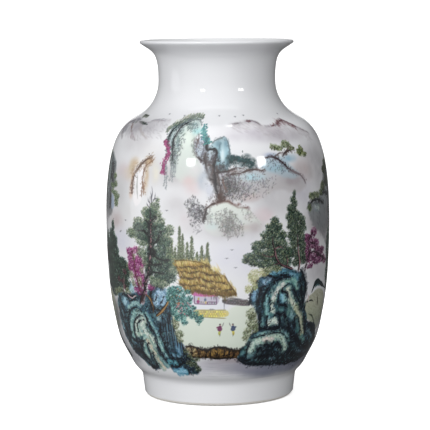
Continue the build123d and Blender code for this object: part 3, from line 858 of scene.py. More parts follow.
def left_rocks():
    """The blue-green rock mass at the left foot of the scene."""
    wash(-140, 82, 12, 22, (120, 120, 122), 0.8)
    wash(-136, 56, 14, 14, (150, 152, 158), 0.7)
    wash(-122, 44, 14, 9, (150, 152, 160), 0.8)
    mass = [(-131, 93), (-126, 105), (-112, 109), (-100, 109), (-88, 113), (-78, 111), (-68, 120),
            (-58, 120), (-50, 107), (-48, 92), (-46, 78), (-40, 68), (-36, 58), (-28, 47), (-22, 38),
            (-32, 33), (-48, 34), (-58, 37), (-68, 42), (-80, 36), (-90, 35), (-100, 40), (-112, 47),
            (-122, 56), (-129, 70)]
    dusk_mass(mass, [(26, 36, 44), (38, 60, 70), (52, 82, 94), (72, 110, 124)], 1100)
    blue, pale_blue = (84, 126, 146), (164, 200, 214)
    teal, pale_teal = (88, 134, 138), (158, 194, 188)
    stone, pale_stone = (132, 166, 158), (212, 220, 208)
    cream = (206, 198, 178)
    ridges([
        ([(-113, 98), (-112, 101), (-110, 104)], 11, blue, pale_blue),
        ([(-111, 86), (-107, 94), (-100, 99), (-91, 102), (-86, 99)], 8, blue, pale_teal),
        ([(-107, 66), (-107, 76), (-104, 85), (-98, 91), (-89, 93), (-83, 88)], 8, teal, pale_teal),
        ([(-98, 68), (-98, 77), (-93, 85), (-87, 88), (-82, 82)], 9, stone, pale_stone),
        ([(-92, 70), (-90, 79), (-85, 85)], 9, stone, pale_stone),
        ([(-86, 78), (-84, 70), (-77, 68), (-72, 62)], 10, stone, pale_stone),
        ([(-90, 47), (-92, 56), (-89, 64), (-84, 68)], 8, teal, (176, 204, 192)),
        ([(-84, 66), (-80, 58), (-77, 50), (-74, 42), (-70, 37)], 9, stone, cream),
        ([(-80, 93), (-75, 84), (-70, 76), (-66, 66), (-64, 57), (-62, 51)], 6, blue, (134, 178, 176)),
        ([(-68, 70), (-66, 62), (-64, 56)], 5, teal, pale_teal),
        ([(-66, 102), (-64, 110), (-60, 116), (-56, 112), (-58, 103)], 9, (96, 136, 164), (168, 198, 220)),
        ([(-64, 88), (-63, 93), (-60, 96)], 5, (110, 150, 160), (170, 190, 190)),
        ([(-62, 45), (-55, 46), (-50, 44)], 5, (52, 112, 128), (104, 168, 178)),
        ([(-58, 36), (-50, 37), (-44, 40)], 5, (60, 118, 146), (126, 174, 198)),
        ([(-54, 35), (-46, 36), (-40, 36)], 5, (70, 140, 170), (150, 196, 216)),
        ([(-46, 63), (-44, 58), (-42, 54)], 4.5, (70, 112, 142), (126, 166, 192)),
        ([(-54, 54), (-50, 52), (-46, 52)], 3.5, (60, 100, 122), (110, 150, 172)),
        ([(-118, 62), (-114, 72), (-113, 82)], 5, (36, 58, 68), (58, 90, 100)),
        ([(-104, 46), (-100, 54), (-94, 58)], 5, (30, 48, 56), (48, 74, 82)),
        ([(-99, 113), (-94, 118), (-90, 121)], 7, (120, 160, 170), (170, 198, 204)),
        ([(-126, 72), (-123, 82), (-120, 92)], 7, (78, 116, 130), (136, 172, 184)),
        ([(-118, 52), (-114, 58), (-111, 62)], 6, (74, 110, 120), (120, 160, 166)),
        ([(-100, 40), (-94, 43), (-88, 42)], 5, (72, 108, 120), (112, 150, 160)),
        ([(-72, 48), (-68, 44), (-64, 40)], 5, (78, 120, 130), (134, 170, 170)),
    ])
    for u, low, high, shade in [
        (-61.5, 76, 94, (70, 100, 116)), (-58.5, 62, 84, (66, 94, 108)), (-55.5, 66, 92, (84, 116, 132)),
        (-52, 62, 84, (60, 92, 108)), (-49.5, 68, 92, (78, 108, 124)), (-47, 58, 78, (86, 122, 144)),
        (-44, 52, 72, (92, 130, 152)), (-41, 50, 66, (70, 104, 126)), (-56.5, 44, 58, (56, 92, 110)),
        (-50.5, 42, 56, (54, 84, 102)), (-45.5, 40, 50, (58, 88, 108)),
    ]:
        stroke([(u, high), (u + 0.8, (low + high) / 2), (u + 0.2, low)], 1.7, shade, 0.85, wobble=0.5)
        stroke([(u + 1.5, high), (u + 2.2, (low + high) / 2), (u + 1.7, low)], 1.4, ink, 0.9, wobble=0.5)
    creases([
        ([(-122, 104), (-120, 96), (-118, 90), (-108, 91), (-105, 94)], 2.4),
        ([(-119, 106), (-112, 108), (-105, 105), (-103, 100)], 1.6),
        ([(-108, 108), (-101, 107), (-94, 108), (-88, 106)], 2.4),
        ([(-103, 102), (-98, 104), (-92, 106)], 1.4), ([(-112, 84), (-106, 90), (-101, 95), (-93, 97),
                                                        (-86, 95)], 2.0),
        ([(-102, 62), (-103, 74), (-99, 83), (-93, 88), (-86, 90)], 1.8),
        ([(-95, 72), (-96, 79), (-91, 84), (-84, 86)], 1.3), ([(-112, 66), (-112, 78), (-109, 86)], 2.4),
        ([(-110, 64), (-102, 62), (-95, 63), (-88, 65)], 2.2), ([(-97, 46), (-97, 56), (-93, 62)], 2.2),
        ([(-87, 46), (-85, 54), (-86, 60), (-81, 64)], 1.4),
        ([(-82, 92), (-77, 82), (-72, 74), (-69, 66)], 1.8),
        ([(-73, 68), (-70, 60), (-67, 52), (-66, 46)], 2.2),
        ([(-62, 84), (-64, 74), (-61, 64), (-58, 52)], 2.4),
        ([(-82, 82), (-78, 80), (-74, 76)], 1.6), ([(-80, 54), (-82, 46), (-80, 40)], 1.5),
        ([(-72, 96), (-71, 106), (-70, 116), (-64, 121), (-56, 119)], 2.4), ([(-66, 106), (-63, 112)], 1.2),
        ([(-60, 104), (-57, 108), (-56, 112)], 1.0), ([(-70, 98), (-64, 98), (-58, 96), (-54, 100)], 2.4),
        ([(-58, 50), (-52, 49), (-44, 50), (-39, 54)], 1.6),
        ([(-60, 41), (-52, 40), (-46, 43), (-40, 48)], 1.8),
        ([(-38, 60), (-36, 52), (-32, 44)], 2.2), ([(-118, 52), (-108, 54), (-98, 50), (-90, 42)], 3.0),
        ([(-126, 84), (-120, 74), (-116, 60), (-106, 52)], 3.0), ([(-100, 44), (-92, 38), (-84, 37)], 2.4),
        ([(-128, 92), (-122, 84), (-116, 86)], 2.4), ([(-50, 106), (-50, 96), (-52, 86)], 2.0),
    ])
    weather(mass, 150)
    stroke([(-106, 109), (-101, 106.5), (-96, 106)], 1.3, (206, 176, 184), 0.9)
    stroke([(-99, 105), (-94, 108), (-90, 109)], 1.2, (214, 196, 196), 0.9)
    fill([(-86, 102), (-83, 110), (-79, 116), (-76, 114), (-79, 107), (-81, 101)], (196, 180, 188), 0.9,
         edge=1.5)
    crease([(-87, 100), (-84, 108), (-80, 116)], 1.4)
    stroke([(-78, 112), (-72, 108), (-69, 100), (-70, 94)], 2.2, (78, 56, 34), 0.95)
    stroke([(-77, 112), (-72, 107), (-69.5, 100)], 0.8, (172, 134, 82), 0.8, wobble=0.8)
    olive_bushes([(-42, 75, 4.5, 3.5), (-45, 86, 3.5, 6), (-41, 69, 3, 2.5)])
    foliage([(-36, 58, 2.6, 2.4), (-29, 47, 3, 4), (-25, 40, 3.4, 3), (-34, 45, 4, 3), (-32, 53, 2.6, 2.4),
             (-24.5, 50, 2.4, 1.8)], (34, 44, 34), (104, 114, 88), (168, 176, 142), leaf=1.8, under=0.35)


def right_rocks():
    """The rock mass at the right foot of the scene: an arched rock over a lower arched one."""
    mass = [(31, 106), (33, 118), (40, 130), (50, 135), (60, 138), (72, 137), (84, 133), (92, 127), (97, 117),
            (98, 104), (102, 92), (108, 80), (112, 72), (124, 64), (140, 56), (150, 45), (128, 41),
            (104, 39.5), (84, 40), (66, 41), (48, 42), (34, 44), (21, 50), (24, 60), (31, 68), (36, 78),
            (40, 88), (37, 98)]
    dusk_mass(mass, [(22, 30, 36), (32, 48, 56), (44, 66, 76), (60, 92, 106)], 1300)
    blue, pale_blue = (76, 116, 140), (148, 186, 204)
    teal, pale_teal = (80, 126, 130), (160, 198, 190)
    stone, pale_stone = (128, 164, 156), (208, 216, 204)
    olive_stone, pale_olive = (120, 136, 112), (190, 192, 166)
    ridges([
        ([(35, 108), (35, 113), (37, 118)], 5.5, blue, (130, 168, 196)),
        ([(45, 124), (49, 127), (51, 129)], 6, blue, (146, 176, 198)),
        ([(52, 133), (60, 134), (68, 133)], 4.5, (60, 112, 134), (112, 164, 186)),
        ([(74, 131), (80, 129), (85, 125)], 5, (62, 106, 128), (108, 154, 176)),
        ([(58, 112), (56, 106), (55, 100), (57, 94)], 7, teal, pale_stone),
        ([(55, 108), (59, 115), (65, 120), (71, 123)], 7, stone, (216, 216, 210)),
        ([(70, 124), (77, 125), (83, 121), (85, 115)], 6, teal, (142, 184, 172)),
        ([(52, 84), (56, 86), (61, 87), (62, 83)], 8, stone, (214, 222, 212)),
        ([(49, 112), (48, 104), (49, 96), (52, 90)], 5.5, teal, (136, 182, 184)),
        ([(45, 92), (45, 86), (46, 80)], 4, (58, 92, 98), (100, 140, 142)),
        ([(66, 112), (68, 108), (69, 105)], 8, (72, 124, 146), (142, 190, 208)),
        ([(61, 104), (63, 98), (68, 95)], 5, (50, 86, 92), (88, 130, 132)),
        ([(72, 117), (75, 110), (79, 103), (85, 97)], 7, stone, (206, 210, 192)),
        ([(84, 98), (90, 91), (95, 84), (99, 76), (103, 68)], 7, olive_stone, pale_olive),
        ([(78, 92), (81, 90), (83, 87)], 7, (64, 98, 108), (126, 162, 166)),
        ([(89, 84), (91, 78), (95, 72)], 6, (44, 76, 82), (72, 110, 112)),
        ([(101, 66), (105, 63), (110, 60)], 6, (62, 100, 102), (104, 148, 142)),
        ([(74, 100), (76, 95), (75, 90)], 5, (56, 88, 90), (96, 132, 128)),
        ([(38, 72), (46, 75), (56, 76.5), (68, 75), (78, 71), (84, 64)], 4.5, (62, 98, 106), (112, 152, 156)),
        ([(33, 56), (35, 62), (40, 67), (48, 69), (56, 70)], 9, stone, (196, 214, 202)),
        ([(54, 70), (63, 71), (71, 68), (76, 62), (79, 55)], 8, stone, (190, 208, 192)),
        ([(48, 68), (54, 69), (60, 68)], 4, (170, 174, 164), (212, 204, 196)),
        ([(24, 55), (27, 57)], 4, (50, 84, 90), (80, 120, 124)),
        ([(90, 58), (98, 54), (106, 50)], 4, (30, 46, 52), (50, 74, 80)),
        ([(108, 72), (118, 68), (128, 62)], 4, (54, 74, 84), (88, 116, 128)),
        ([(92, 116), (92, 108), (95, 98)], 5, (66, 92, 92), (112, 134, 122)),
        ([(46, 56), (40, 54), (32, 52)], 4, (66, 98, 104), (104, 140, 144)),
        ([(100, 52), (114, 49), (130, 48)], 4, (60, 82, 92), (92, 118, 130)),
        ([(64, 88), (70, 88), (76, 82)], 4, (58, 88, 94), (94, 128, 130)),
    ])
    creases([
        ([(31, 104), (31, 112), (34, 121), (40, 129)], 1.6),
        ([(39, 104), (40, 112), (42, 119), (46, 122)], 2.6),
        ([(44, 130), (50, 131), (56, 129), (62, 129)], 2.2), ([(62, 131), (70, 129), (76, 127)], 2.0),
        ([(52, 123), (57, 125), (63, 127), (70, 128)], 2.2),
        ([(50, 120), (46, 114), (44, 106), (44, 98)], 2.6), ([(62, 114), (61, 107), (62, 101)], 2.0),
        ([(64, 116), (68, 114), (72, 112), (73, 107)], 2.0),
        ([(63, 102), (67, 101), (71, 101), (73, 98)], 2.0), ([(60, 94), (65, 92), (71, 91), (72, 84)], 2.6),
        ([(42, 96), (42, 88), (42, 80)], 2.4), ([(50, 92), (50, 86), (50, 80)], 1.6),
        ([(64, 90), (66, 84), (64, 78), (54, 78)], 2.4), ([(36, 78), (44, 79.5), (54, 79), (66, 79.5),
                                                           (76, 76)], 2.4),
        ([(34, 70), (42, 72), (52, 73.5), (64, 74), (74, 71), (80, 64)], 1.2),
        ([(42, 52), (44, 58), (48, 62), (54, 63), (58, 60)], 2.8),
        ([(58, 54), (62, 60), (67, 63), (71, 60), (73, 54)], 2.6),
        ([(48, 56), (53, 58), (58, 56)], 2.2), ([(60, 50), (66, 54), (70, 52)], 2.4),
        ([(40, 50), (50, 52), (60, 50)], 2.4), ([(30, 54), (31, 61), (34, 67)], 1.6),
        ([(84, 62), (86, 56), (90, 50)], 2.4), ([(76, 84), (78, 78), (82, 72), (88, 66)], 3.0),
        ([(86, 88), (86, 82), (88, 76)], 2.0), ([(88, 126), (91, 118), (92, 110), (95, 102), (96, 94)],
                                                3.4), ([(80, 116), (84, 110), (88, 104), (93, 98)], 2.4),
        ([(99, 88), (104, 78), (108, 70)], 2.4), ([(84, 68), (94, 64), (104, 58), (116, 54), (130, 50)], 3.4),
        ([(86, 52), (98, 48), (112, 46), (130, 46)], 3.2),
        ([(22, 49), (32, 44.5), (48, 43), (66, 42)], 2.4), ([(66, 42), (86, 41), (110, 41)], 2.4),
        ([(110, 78), (118, 74), (128, 68), (138, 60)], 2.8), ([(74, 122), (70, 120), (66, 118)], 1.2),
        ([(53, 96), (52, 104), (52, 110)], 1.1), ([(90, 88), (96, 78), (100, 70)], 1.0),
        ([(88, 134), (93, 128), (97, 120), (98, 108)], 3.0),
    ])
    weather(mass, 190)
    olive_bushes([(33, 95, 5, 5), (34, 86, 5.5, 6), (30, 77, 4.5, 4), (27.5, 71, 3, 2.4), (38, 80, 3, 4)])


def far_right_rocks():
    """The pale rocks at the right edge, behind the rock mass."""
    fill([(98, 96), (104, 104), (112, 108), (122, 111), (134, 109), (144, 104), (150, 92), (148, 76),
          (134, 68), (122, 74), (112, 80), (102, 86)],
         [(150, 152, 146), (168, 176, 152), (184, 186, 164), (176, 176, 156)], 0.95, edge=2, size=8)
    stroke([(110, 109), (115, 116), (121, 118.5), (128, 116), (138, 112), (148, 108)], 4.2, (18, 38, 42))
    stroke([(116, 113), (121, 115), (128, 113)], 1.8, (36, 70, 76), 0.8)
    stroke([(100, 100), (110, 101), (116, 99)], 1.6, (44, 48, 48))
    stroke([(124, 103), (126, 98), (128, 94)], 2.6, (76, 74, 64), 0.7)
    stroke([(108, 88), (118, 84), (126, 76), (134, 68)], 1.8, (50, 58, 48), 0.8)
    u, z = scatter([(100, 98), (122, 110), (146, 104), (146, 78), (120, 78)], 240)
    strokes(u, z, 3.0, 0.6, -0.5, (120, 122, 104), 0.5)
    fill([(102, 82), (112, 80), (126, 76), (138, 66), (146, 54), (128, 50), (108, 62)],
         [(16, 22, 30), (30, 42, 54), (24, 32, 40)], 0.95, rough=2)
    branch([(88, 128), (93, 124), (97, 116), (97, 104), (94, 96)], 5.0, (26, 22, 22), gleam=0.0)
    branch([(104, 107), (105, 102), (106, 99)], 1.6, (206, 190, 190), gleam=0.0)


def teal_tree():
    """The turquoise-leaved tree that leans out over the yard."""
    branch([(-67, 91), (-61, 95), (-55, 101), (-50, 108), (-44, 114), (-36, 118)], 3.0, (48, 34, 24),
           (176, 138, 84), gleam=0.4)
    branch([(-46, 111), (-43, 104), (-42, 98)], 1.4, (60, 42, 30), (150, 100, 60))
    foliage([(-39, 113, 6, 5), (-33, 107, 6, 4.5), (-40, 104, 5.5, 4.5), (-46, 107, 3.6, 5.5),
             (-33, 98, 7, 5), (-40, 93, 5.5, 4), (-25, 95, 5, 4.4), (-20.5, 89.5, 2.6, 3.6),
             (-48, 116, 4, 4), (-35, 87, 3, 2.4), (-46, 97, 3.4, 4), (-28, 111, 3, 2.5), (-42, 119, 7, 3),
             (-17, 92, 2, 2.4), (-25, 102, 2.4, 2), (-51, 110, 2.4, 3), (-30, 117, 3, 1.8)],
            leaf_dark, leaf_teal, leaf_light, leaf=1.8, density=0.62, under=0.4)
    u, z = scatter([(-44, 100), (-34, 108), (-24, 98), (-32, 93)], 46)
    dabs(u, z, 1.3, 1.1, 0.0, jitter((186, 120, 132), len(u), 16), 0.9, relief=0.08)
    u, z = scatter([(-40, 120), (-36, 118), (-40, 104), (-44, 108)], 16)
    dabs(u, z, 1.5, 1.1, 0.0, jitter((170, 96, 60), len(u), 16), 0.8, relief=0.08)


def tall_pine():
    """The great pine at the left, with its rose bark and bare crown twigs."""
    twig = (78, 78, 88)
    for line in [[(-67, 196), (-67.5, 206), (-69, 211)], [(-67.5, 203), (-66.5, 210), (-67.5, 216)],
                 [(-66, 201), (-63.5, 205), (-63, 210)], [(-66, 203), (-62, 204.5), (-58.5, 204)],
                 [(-68, 199), (-71, 202), (-71.5, 205)], [(-69, 195), (-72, 198), (-73, 200)]]:
        stroke(line, 1.0, twig, 0.85)
    light = (172, 182, 146)
    back = [(-63, 197, 5, 4.5), (-73, 191, 6, 4.5), (-62, 190, 6, 4.5), (-84, 181, 6.5, 4.5),
            (-57, 182, 4.5, 5), (-70, 182, 9, 6), (-94, 170, 6.5, 4.2), (-48, 175, 5.5, 4.5),
            (-86, 172, 8, 5), (-52, 166, 7, 5.5), (-78, 164, 9, 5), (-50, 157, 5, 4), (-80, 152, 6, 5),
            (-49, 147, 6, 6), (-73, 143, 6, 6), (-46, 137, 5, 6), (-56, 125, 8, 5), (-66, 126, 6, 5),
            (-60, 203, 2, 1.6)]
    foliage(back, (64, 80, 66), (112, 126, 100), light, leaf=1.8, density=0.6, under=0.55)
    front = [(-68, 190, 6, 4.5), (-72, 177, 8, 5.5), (-60, 175, 8, 6), (-84, 176, 6, 4), (-66, 166, 8, 6),
             (-78, 168, 7, 4), (-55, 163, 7, 5), (-58, 153, 8, 6), (-68, 154, 6, 6), (-64, 144, 9, 6),
             (-54, 143, 7, 6), (-58, 134, 9, 6), (-48, 130, 6, 5), (-70, 136, 5, 5)]
    foliage(front, (36, 50, 46), (66, 92, 80), (126, 142, 118), leaf=1.8, density=0.62)
    trunk = [(-84, 104), (-79, 114), (-76, 124), (-72, 136), (-69.5, 148), (-68.5, 160), (-68.5, 172),
             (-68, 184), (-69, 197), (-69, 206)]
    crease(trunk[:8], 3.0, (30, 26, 30), 0.55, taper=(0.02, 0.4))
    stroke(trunk[6:], 1.6, (44, 40, 46), 0.9, taper=(0.05, 0.8))
    for reach in (0, 0.25, 0.5, 0.7):
        u, z, tilt = along_line(trunk[int(reach * 8):int(reach * 8) + 3], 12, 0.5)
        dabs(u + 0.4, z, 1.7, 0.8, tilt, jitter(rose_bark, 12, 14), 0.8, relief=0.06)
    for line in [[(-84, 172.5), (-78, 173), (-73, 170.5), (-68, 166)], [(-66, 160), (-60, 166), (-57, 174)],
                 [(-67, 152), (-61, 148), (-54, 146), (-48, 147)], [(-70, 143), (-64, 141), (-56, 143)],
                 [(-67, 178), (-72, 182), (-76, 184)], [(-66, 184), (-61, 187)],
                 [(-76, 128), (-70, 132), (-64, 134), (-54, 133)], [(-66, 156), (-63, 152)]]:
        crease(line, 1.4, (28, 28, 30), 0.5, taper=(0.05, 0.5))
    branch([(-81, 118), (-84, 124), (-88, 128)], 1.2, (92, 76, 56), gleam=0)
    stroke([(-80, 112), (-83, 106), (-87, 101)], 2.2, (60, 44, 44), 0.95)


def magenta_tree_left():
    """The small maple between the firs and the great pine."""
    branch([(-84, 112), (-87, 122), (-90, 132), (-91, 144), (-94, 152)], 1.8, (86, 62, 46), (206, 186, 150))
    branch([(-89, 130), (-84, 136), (-80, 140)], 1.2, (86, 62, 46), gleam=0)
    foliage([(-97, 152, 5.5, 3.6), (-87, 154, 4.5, 3.4), (-94, 145, 6.5, 4.5), (-85, 145, 5, 4.5),
             (-87, 138, 7, 5.5), (-95, 137, 5, 4.5), (-79, 141, 3.2, 2.6), (-88, 129, 5, 4.5),
             (-82, 131, 4, 4.5), (-88, 119, 5, 5), (-84, 114, 7, 3.4), (-80, 124, 3.4, 5),
             (-70, 119.5, 3.6, 3.0)],
            magenta_dark, magenta, magenta_light, leaf=2.0, density=0.5, under=0.3)
    foliage([(-96, 128, 3.4, 4), (-93, 121, 3, 3), (-84, 124, 3, 4), (-91, 147, 2, 3), (-81, 135, 2, 3)],
            (92, 98, 76), (160, 164, 140), (206, 208, 186), under=0.3)
    crease([(-84, 113), (-87, 122), (-90, 132), (-91, 144), (-94, 152)], 1.1, (84, 52, 50), 0.4)


def firs_left():
    """The dark firs at the left edge."""
    for line in [[(-113, 170), (-110, 170.5)], [(-131, 176), (-129, 180), (-126, 181)]]:
        stroke(line, 1.0, (110, 106, 104), 0.6)
    foliage([(-130, 173, 3.5, 5), (-134, 165, 7, 5), (-128, 160, 7, 6), (-136, 156, 8, 6), (-128, 150, 9, 6),
             (-140, 145, 9, 7), (-124, 142, 8, 6), (-134, 136, 11, 7), (-142, 124, 10, 12),
             (-130, 124, 11, 8), (-118, 134, 7, 6), (-110, 139, 7, 5), (-104, 132, 7, 6), (-114, 124, 9, 6),
             (-106, 119, 7, 6), (-126, 114, 12, 5), (-136, 110, 10, 5), (-148, 150, 6, 16)],
            (18, 32, 28), (40, 72, 58), (84, 104, 80), leaf=2.1, density=0.65)
    for u, z in [(-108, 131), (-112, 121), (-120, 122), (-109, 116)]:
        foliage([(u, z, 3, 2)], (50, 22, 30), (84, 40, 52), (120, 84, 84), leaf=1.8)
    olive_bushes([(-118, 111, 8, 3), (-128, 109, 8, 3), (-104, 112, 5, 3), (-100, 137, 3.4, 3)])
    branch([(-113, 108), (-111, 118), (-109, 128)], 1.8, (40, 32, 32), (206, 176, 176))


def bluff(outline, tones, ledges, swells, specks, foot):
    """A dark bluff in the mist: ragged sides, pale swells, ink ledges and a foot lost in haze."""
    fill(outline, tones, 0.9, edge=4, rough=4.5, size=9, mottle=0.25)
    for points, width in swells:
        ridge(points, width, (112, 124, 128), (158, 168, 166))
    for line in ledges:
        crease(line, 2.4, (42, 44, 46), 0.55)
    u, z = scatter(outline, specks)
    strokes(u, z, 3.6, 0.7, -1.1, (84, 88, 92), 0.5)
    wash(*foot, 24, 9, (206, 204, 208), 0.95, size=8)


def cliff_left():
    """The dark bluff high at the left edge, with hanging bushes."""
    bluff([(-178, 226), (-164, 242), (-148, 245), (-138, 239), (-131, 236), (-128, 228), (-126, 219),
           (-124, 213), (-131, 208), (-133, 196), (-128, 189), (-138, 182), (-160, 178), (-186, 186),
           (-188, 206)],
          [(120, 116, 116), (104, 108, 110), (90, 98, 100), (96, 108, 112)],
          [[(-139, 234), (-136, 228), (-134, 222)], [(-141, 222), (-136, 219), (-131, 214)],
           [(-142, 210), (-138, 200), (-140, 190)], [(-145, 240), (-142, 230), (-142, 218)],
           [(-156, 242), (-160, 226), (-156, 208), (-162, 190)], [(-172, 230), (-174, 212), (-170, 194)]],
          [([(-150, 238), (-150, 222), (-148, 206)], 6), ([(-166, 234), (-168, 216), (-164, 200)], 7),
           ([(-180, 218), (-182, 204)], 5)], 320, (-160, 180))
    fill([(-134, 204), (-128, 202), (-127, 192), (-134, 190)], (150, 166, 190), 0.8, edge=3)
    foliage([(-128, 222, 3.6, 2.6), (-125, 215, 4, 2.8), (-133, 213, 6, 2.2), (-124, 205, 5.5, 3),
             (-118, 203, 3, 2), (-122, 198, 4, 4.5), (-132, 207, 5, 2), (-162, 243, 7, 3),
             (-176, 232, 6, 4), (-186, 212, 5, 4)],
            (66, 82, 58), (112, 128, 92), (164, 174, 140), leaf=2.0)


def cliff_right():
    """The far bluff at the right edge, stepping up towards the back."""
    bluff([(98, 190), (104, 197), (112, 200), (124, 202), (130, 208), (136, 218), (142, 228), (152, 234),
           (166, 236), (178, 222), (187, 198), (180, 170), (150, 152), (134, 156), (118, 168), (106, 178)],
          [(140, 134, 138), (124, 122, 126), (108, 116, 118), (100, 106, 106), (84, 86, 84)],
          [[(99, 192), (105, 197), (112, 199), (122, 198)], [(126, 204), (136, 204), (146, 202), (156, 200)],
           [(134, 206), (140, 214), (146, 220), (154, 224)], [(118, 199), (126, 196), (132, 194)],
           [(150, 216), (154, 200), (150, 184)], [(162, 232), (167, 212), (163, 190)],
           [(176, 220), (180, 200), (176, 182)]],
          [([(112, 192), (120, 190)], 6), ([(156, 226), (160, 208), (157, 190)], 7),
           ([(171, 222), (174, 204)], 6)],
          320, (156, 160))
    foliage([(106, 203, 4, 3), (112, 203.5, 4, 2.6), (118, 203.5, 3.4, 2.8), (126, 205, 4, 2.6),
             (132, 211, 6, 4), (102, 192, 3, 3)], (60, 70, 50), (104, 116, 84), (150, 158, 126), leaf=2.1)
    foliage([(142, 226, 6, 4), (150, 230, 7, 5), (148, 214, 7, 4), (166, 236, 7, 4), (178, 224, 6, 4),
             (186, 204, 4, 4)], (34, 38, 28), (68, 76, 54), (120, 126, 96), leaf=2.1)


def trees_right():
    """The leafy tree, the tall cypress and the maple on the right rocks."""
    light = (168, 174, 134)
    foliage([(34, 131, 5, 6), (29, 119, 3.4, 3.6), (44, 135, 6, 4), (35, 122, 3, 4)], (138, 140, 96),
            (190, 192, 148), (220, 220, 186), leaf=1.7, under=0.6)
    foliage([(101, 161, 7, 5), (109, 168, 5, 4), (97, 164, 4, 3), (112, 156, 7, 4.5), (99, 152, 6, 5),
             (120, 148, 8, 4.5), (129, 149, 5, 3), (116, 141, 8, 4.5), (127, 141, 7, 4), (136, 138, 6, 3),
             (104, 144, 6, 4.5), (103, 136, 5, 2.6), (96, 144, 4, 3)],
            (64, 24, 52), (116, 50, 90), (156, 92, 130), leaf=2.0, density=0.55, under=0.35)
    for line in [[(95, 132), (99, 142), (102, 150), (101, 160), (107, 168)],
                 [(101, 148), (110, 149), (122, 145)], [(104, 158), (112, 156)],
                 [(116, 146), (128, 142), (136, 139)]]:
        crease(line, 1.5, (44, 26, 36), 0.5, taper=(0.05, 0.6))
    cypress = [(80, 207, 1.8, 3.2), (78, 202, 3.2, 3.4), (80, 198, 3.4, 3.4), (76, 193, 5, 4.5),
               (80, 187, 6, 5), (74, 185, 4.5, 5), (85, 184, 5, 4.5), (90, 181, 4.5, 4), (77, 178, 6.5, 5),
               (90, 174, 5.5, 4.5), (83, 172, 6, 6), (76, 168, 5.5, 5), (89, 165, 5, 5), (81, 160, 7, 6),
               (91, 156, 4.5, 5), (77, 152, 6, 5), (87, 148, 6.5, 5), (82, 142, 5, 4), (92, 143, 4, 4)]
    foliage(cypress, (30, 42, 36), (66, 86, 70), (146, 154, 122), leaf=1.8, density=0.7)
    branch([(85, 132), (87, 140), (85, 150), (84, 158), (83, 168)], 2.2, (30, 22, 26))
    broad = [(56, 183, 4.5, 3.4), (52, 177, 5, 4), (60, 177, 4, 3.4), (48, 170, 6, 4), (57, 170, 6, 5),
             (65, 169, 4.5, 4), (38, 160, 6, 4.5), (46, 162, 6, 5), (54, 160, 7, 6), (64, 160, 6, 5),
             (30, 149, 6, 4), (38, 151, 7, 4.5), (48, 151, 8, 5.5), (60, 150, 8, 6), (70, 152, 6, 6),
             (34, 144, 5, 3), (46, 143, 8, 4), (58, 141, 7, 4), (70, 143, 6, 5), (26, 146, 3, 2.4)]
    foliage(broad, (30, 44, 38), (60, 84, 68), light, leaf=1.8, density=0.75)
    for line in [[(78, 135), (70, 138), (63, 141), (58, 147), (56, 154), (54, 161), (53, 168)]]:
        branch(line, 2.6, (30, 20, 24), (176, 134, 140), gleam=0.35)
    for line in [[(57, 150), (50, 149), (42, 152)], [(56, 156), (61, 158), (66, 156)], [(62, 142), (54, 141)],
                 [(70, 138), (71, 144), (69, 149)]]:
        branch(line, 1.2, (44, 28, 32), (186, 144, 150), gleam=0.45)
    olive_bushes([(50, 137, 6, 2.6), (60, 136.5, 5, 2)])


def lake(left, right, low, high):
    """Open water: level strokes on a pale wash."""
    fill([(left, low), (left + 6, high - 8), ((left + right) / 2, high), (right - 6, high - 8), (right, low)],
         [(150, 156, 172), (186, 192, 202), (206, 210, 216), (218, 220, 224)], 0.85, edge=9, size=16)
    count = 420
    u = rng.uniform(left, right, count)
    z = low + (high - low) * rng.random(count) ** 1.4
    strokes(u, z, 13.0, 0.6, 0.0, (150, 160, 176), 0.4, spread=0.02)
    strokes(u[::3], z[::3] + 1, 9.0, 0.6, 0.0, (236, 238, 240), 0.5, spread=0.02)


def boat(u, z, size=1.0, sail=(214, 200, 170)):
    """A small boat under one battened sail."""
    def scaled(points):
        return [(u + x * size, z + y * size) for x, y in points]

    fill(scaled([(-7, 2), (-4.5, -0.8), (4, -1), (8, 2.6), (3, 1.0), (-3, 0.8)]), (70, 50, 42), 0.95,
         edge=0.6, rough=0.2)
    fill(scaled([(0.6, 2.6), (6, 3.4), (5.4, 13), (0.4, 15)]), sail, 0.92, edge=0.8, rough=0.3)
    stroke(scaled([(-0.2, 0.8), (0.2, 16)]), 0.7, sepia)
    for rise in (5, 8, 11):
        stroke(scaled([(0.5, rise), (5.6, rise + 0.5)]), 0.45, ochre_dark, 0.7)
    if size == 1:
        figure(u - 3, z + 8, (92, 84, 110), (150, 140, 120))
    ripple = rng.uniform(-8, 9, 16)
    strokes(u + ripple * size, z - rng.uniform(1.5, 5, 16) * size, 5.0, 0.6, 0.0, (112, 116, 130), 0.5,
            spread=0.03)


def islet(u, z):
    """A low rock in the lake, with bushes and reeds."""
    dusk_mass([(u - 15, z), (u - 10, z + 5), (u - 2, z + 8), (u + 6, z + 5), (u + 14, z + 1), (u + 4, z - 3)],
              [(24, 38, 46), (44, 70, 78)], 90)
    ridge([(u - 9, z + 3), (u - 3, z + 6), (u + 2, z + 4)], 5, (88, 134, 138), (170, 200, 190))
    ridge([(u + 3, z + 2), (u + 9, z + 2)], 4, (84, 126, 146), (150, 190, 206))
    crease([(u - 14, z - 1), (u - 2, z - 2), (u + 12, z - 1)], 1.6)
    olive_bushes([(u - 6, z + 10, 5, 3), (u + 4, z + 8, 4, 2.6), (u + 12, z + 4, 3, 2.4)])
    for reach in rng.uniform(-16, 16, 14):
        stroke([(u + reach, z), (u + reach * 1.05 + 0.5, z + rng.uniform(5, 9))], 0.6, (122, 132, 92), 0.75)


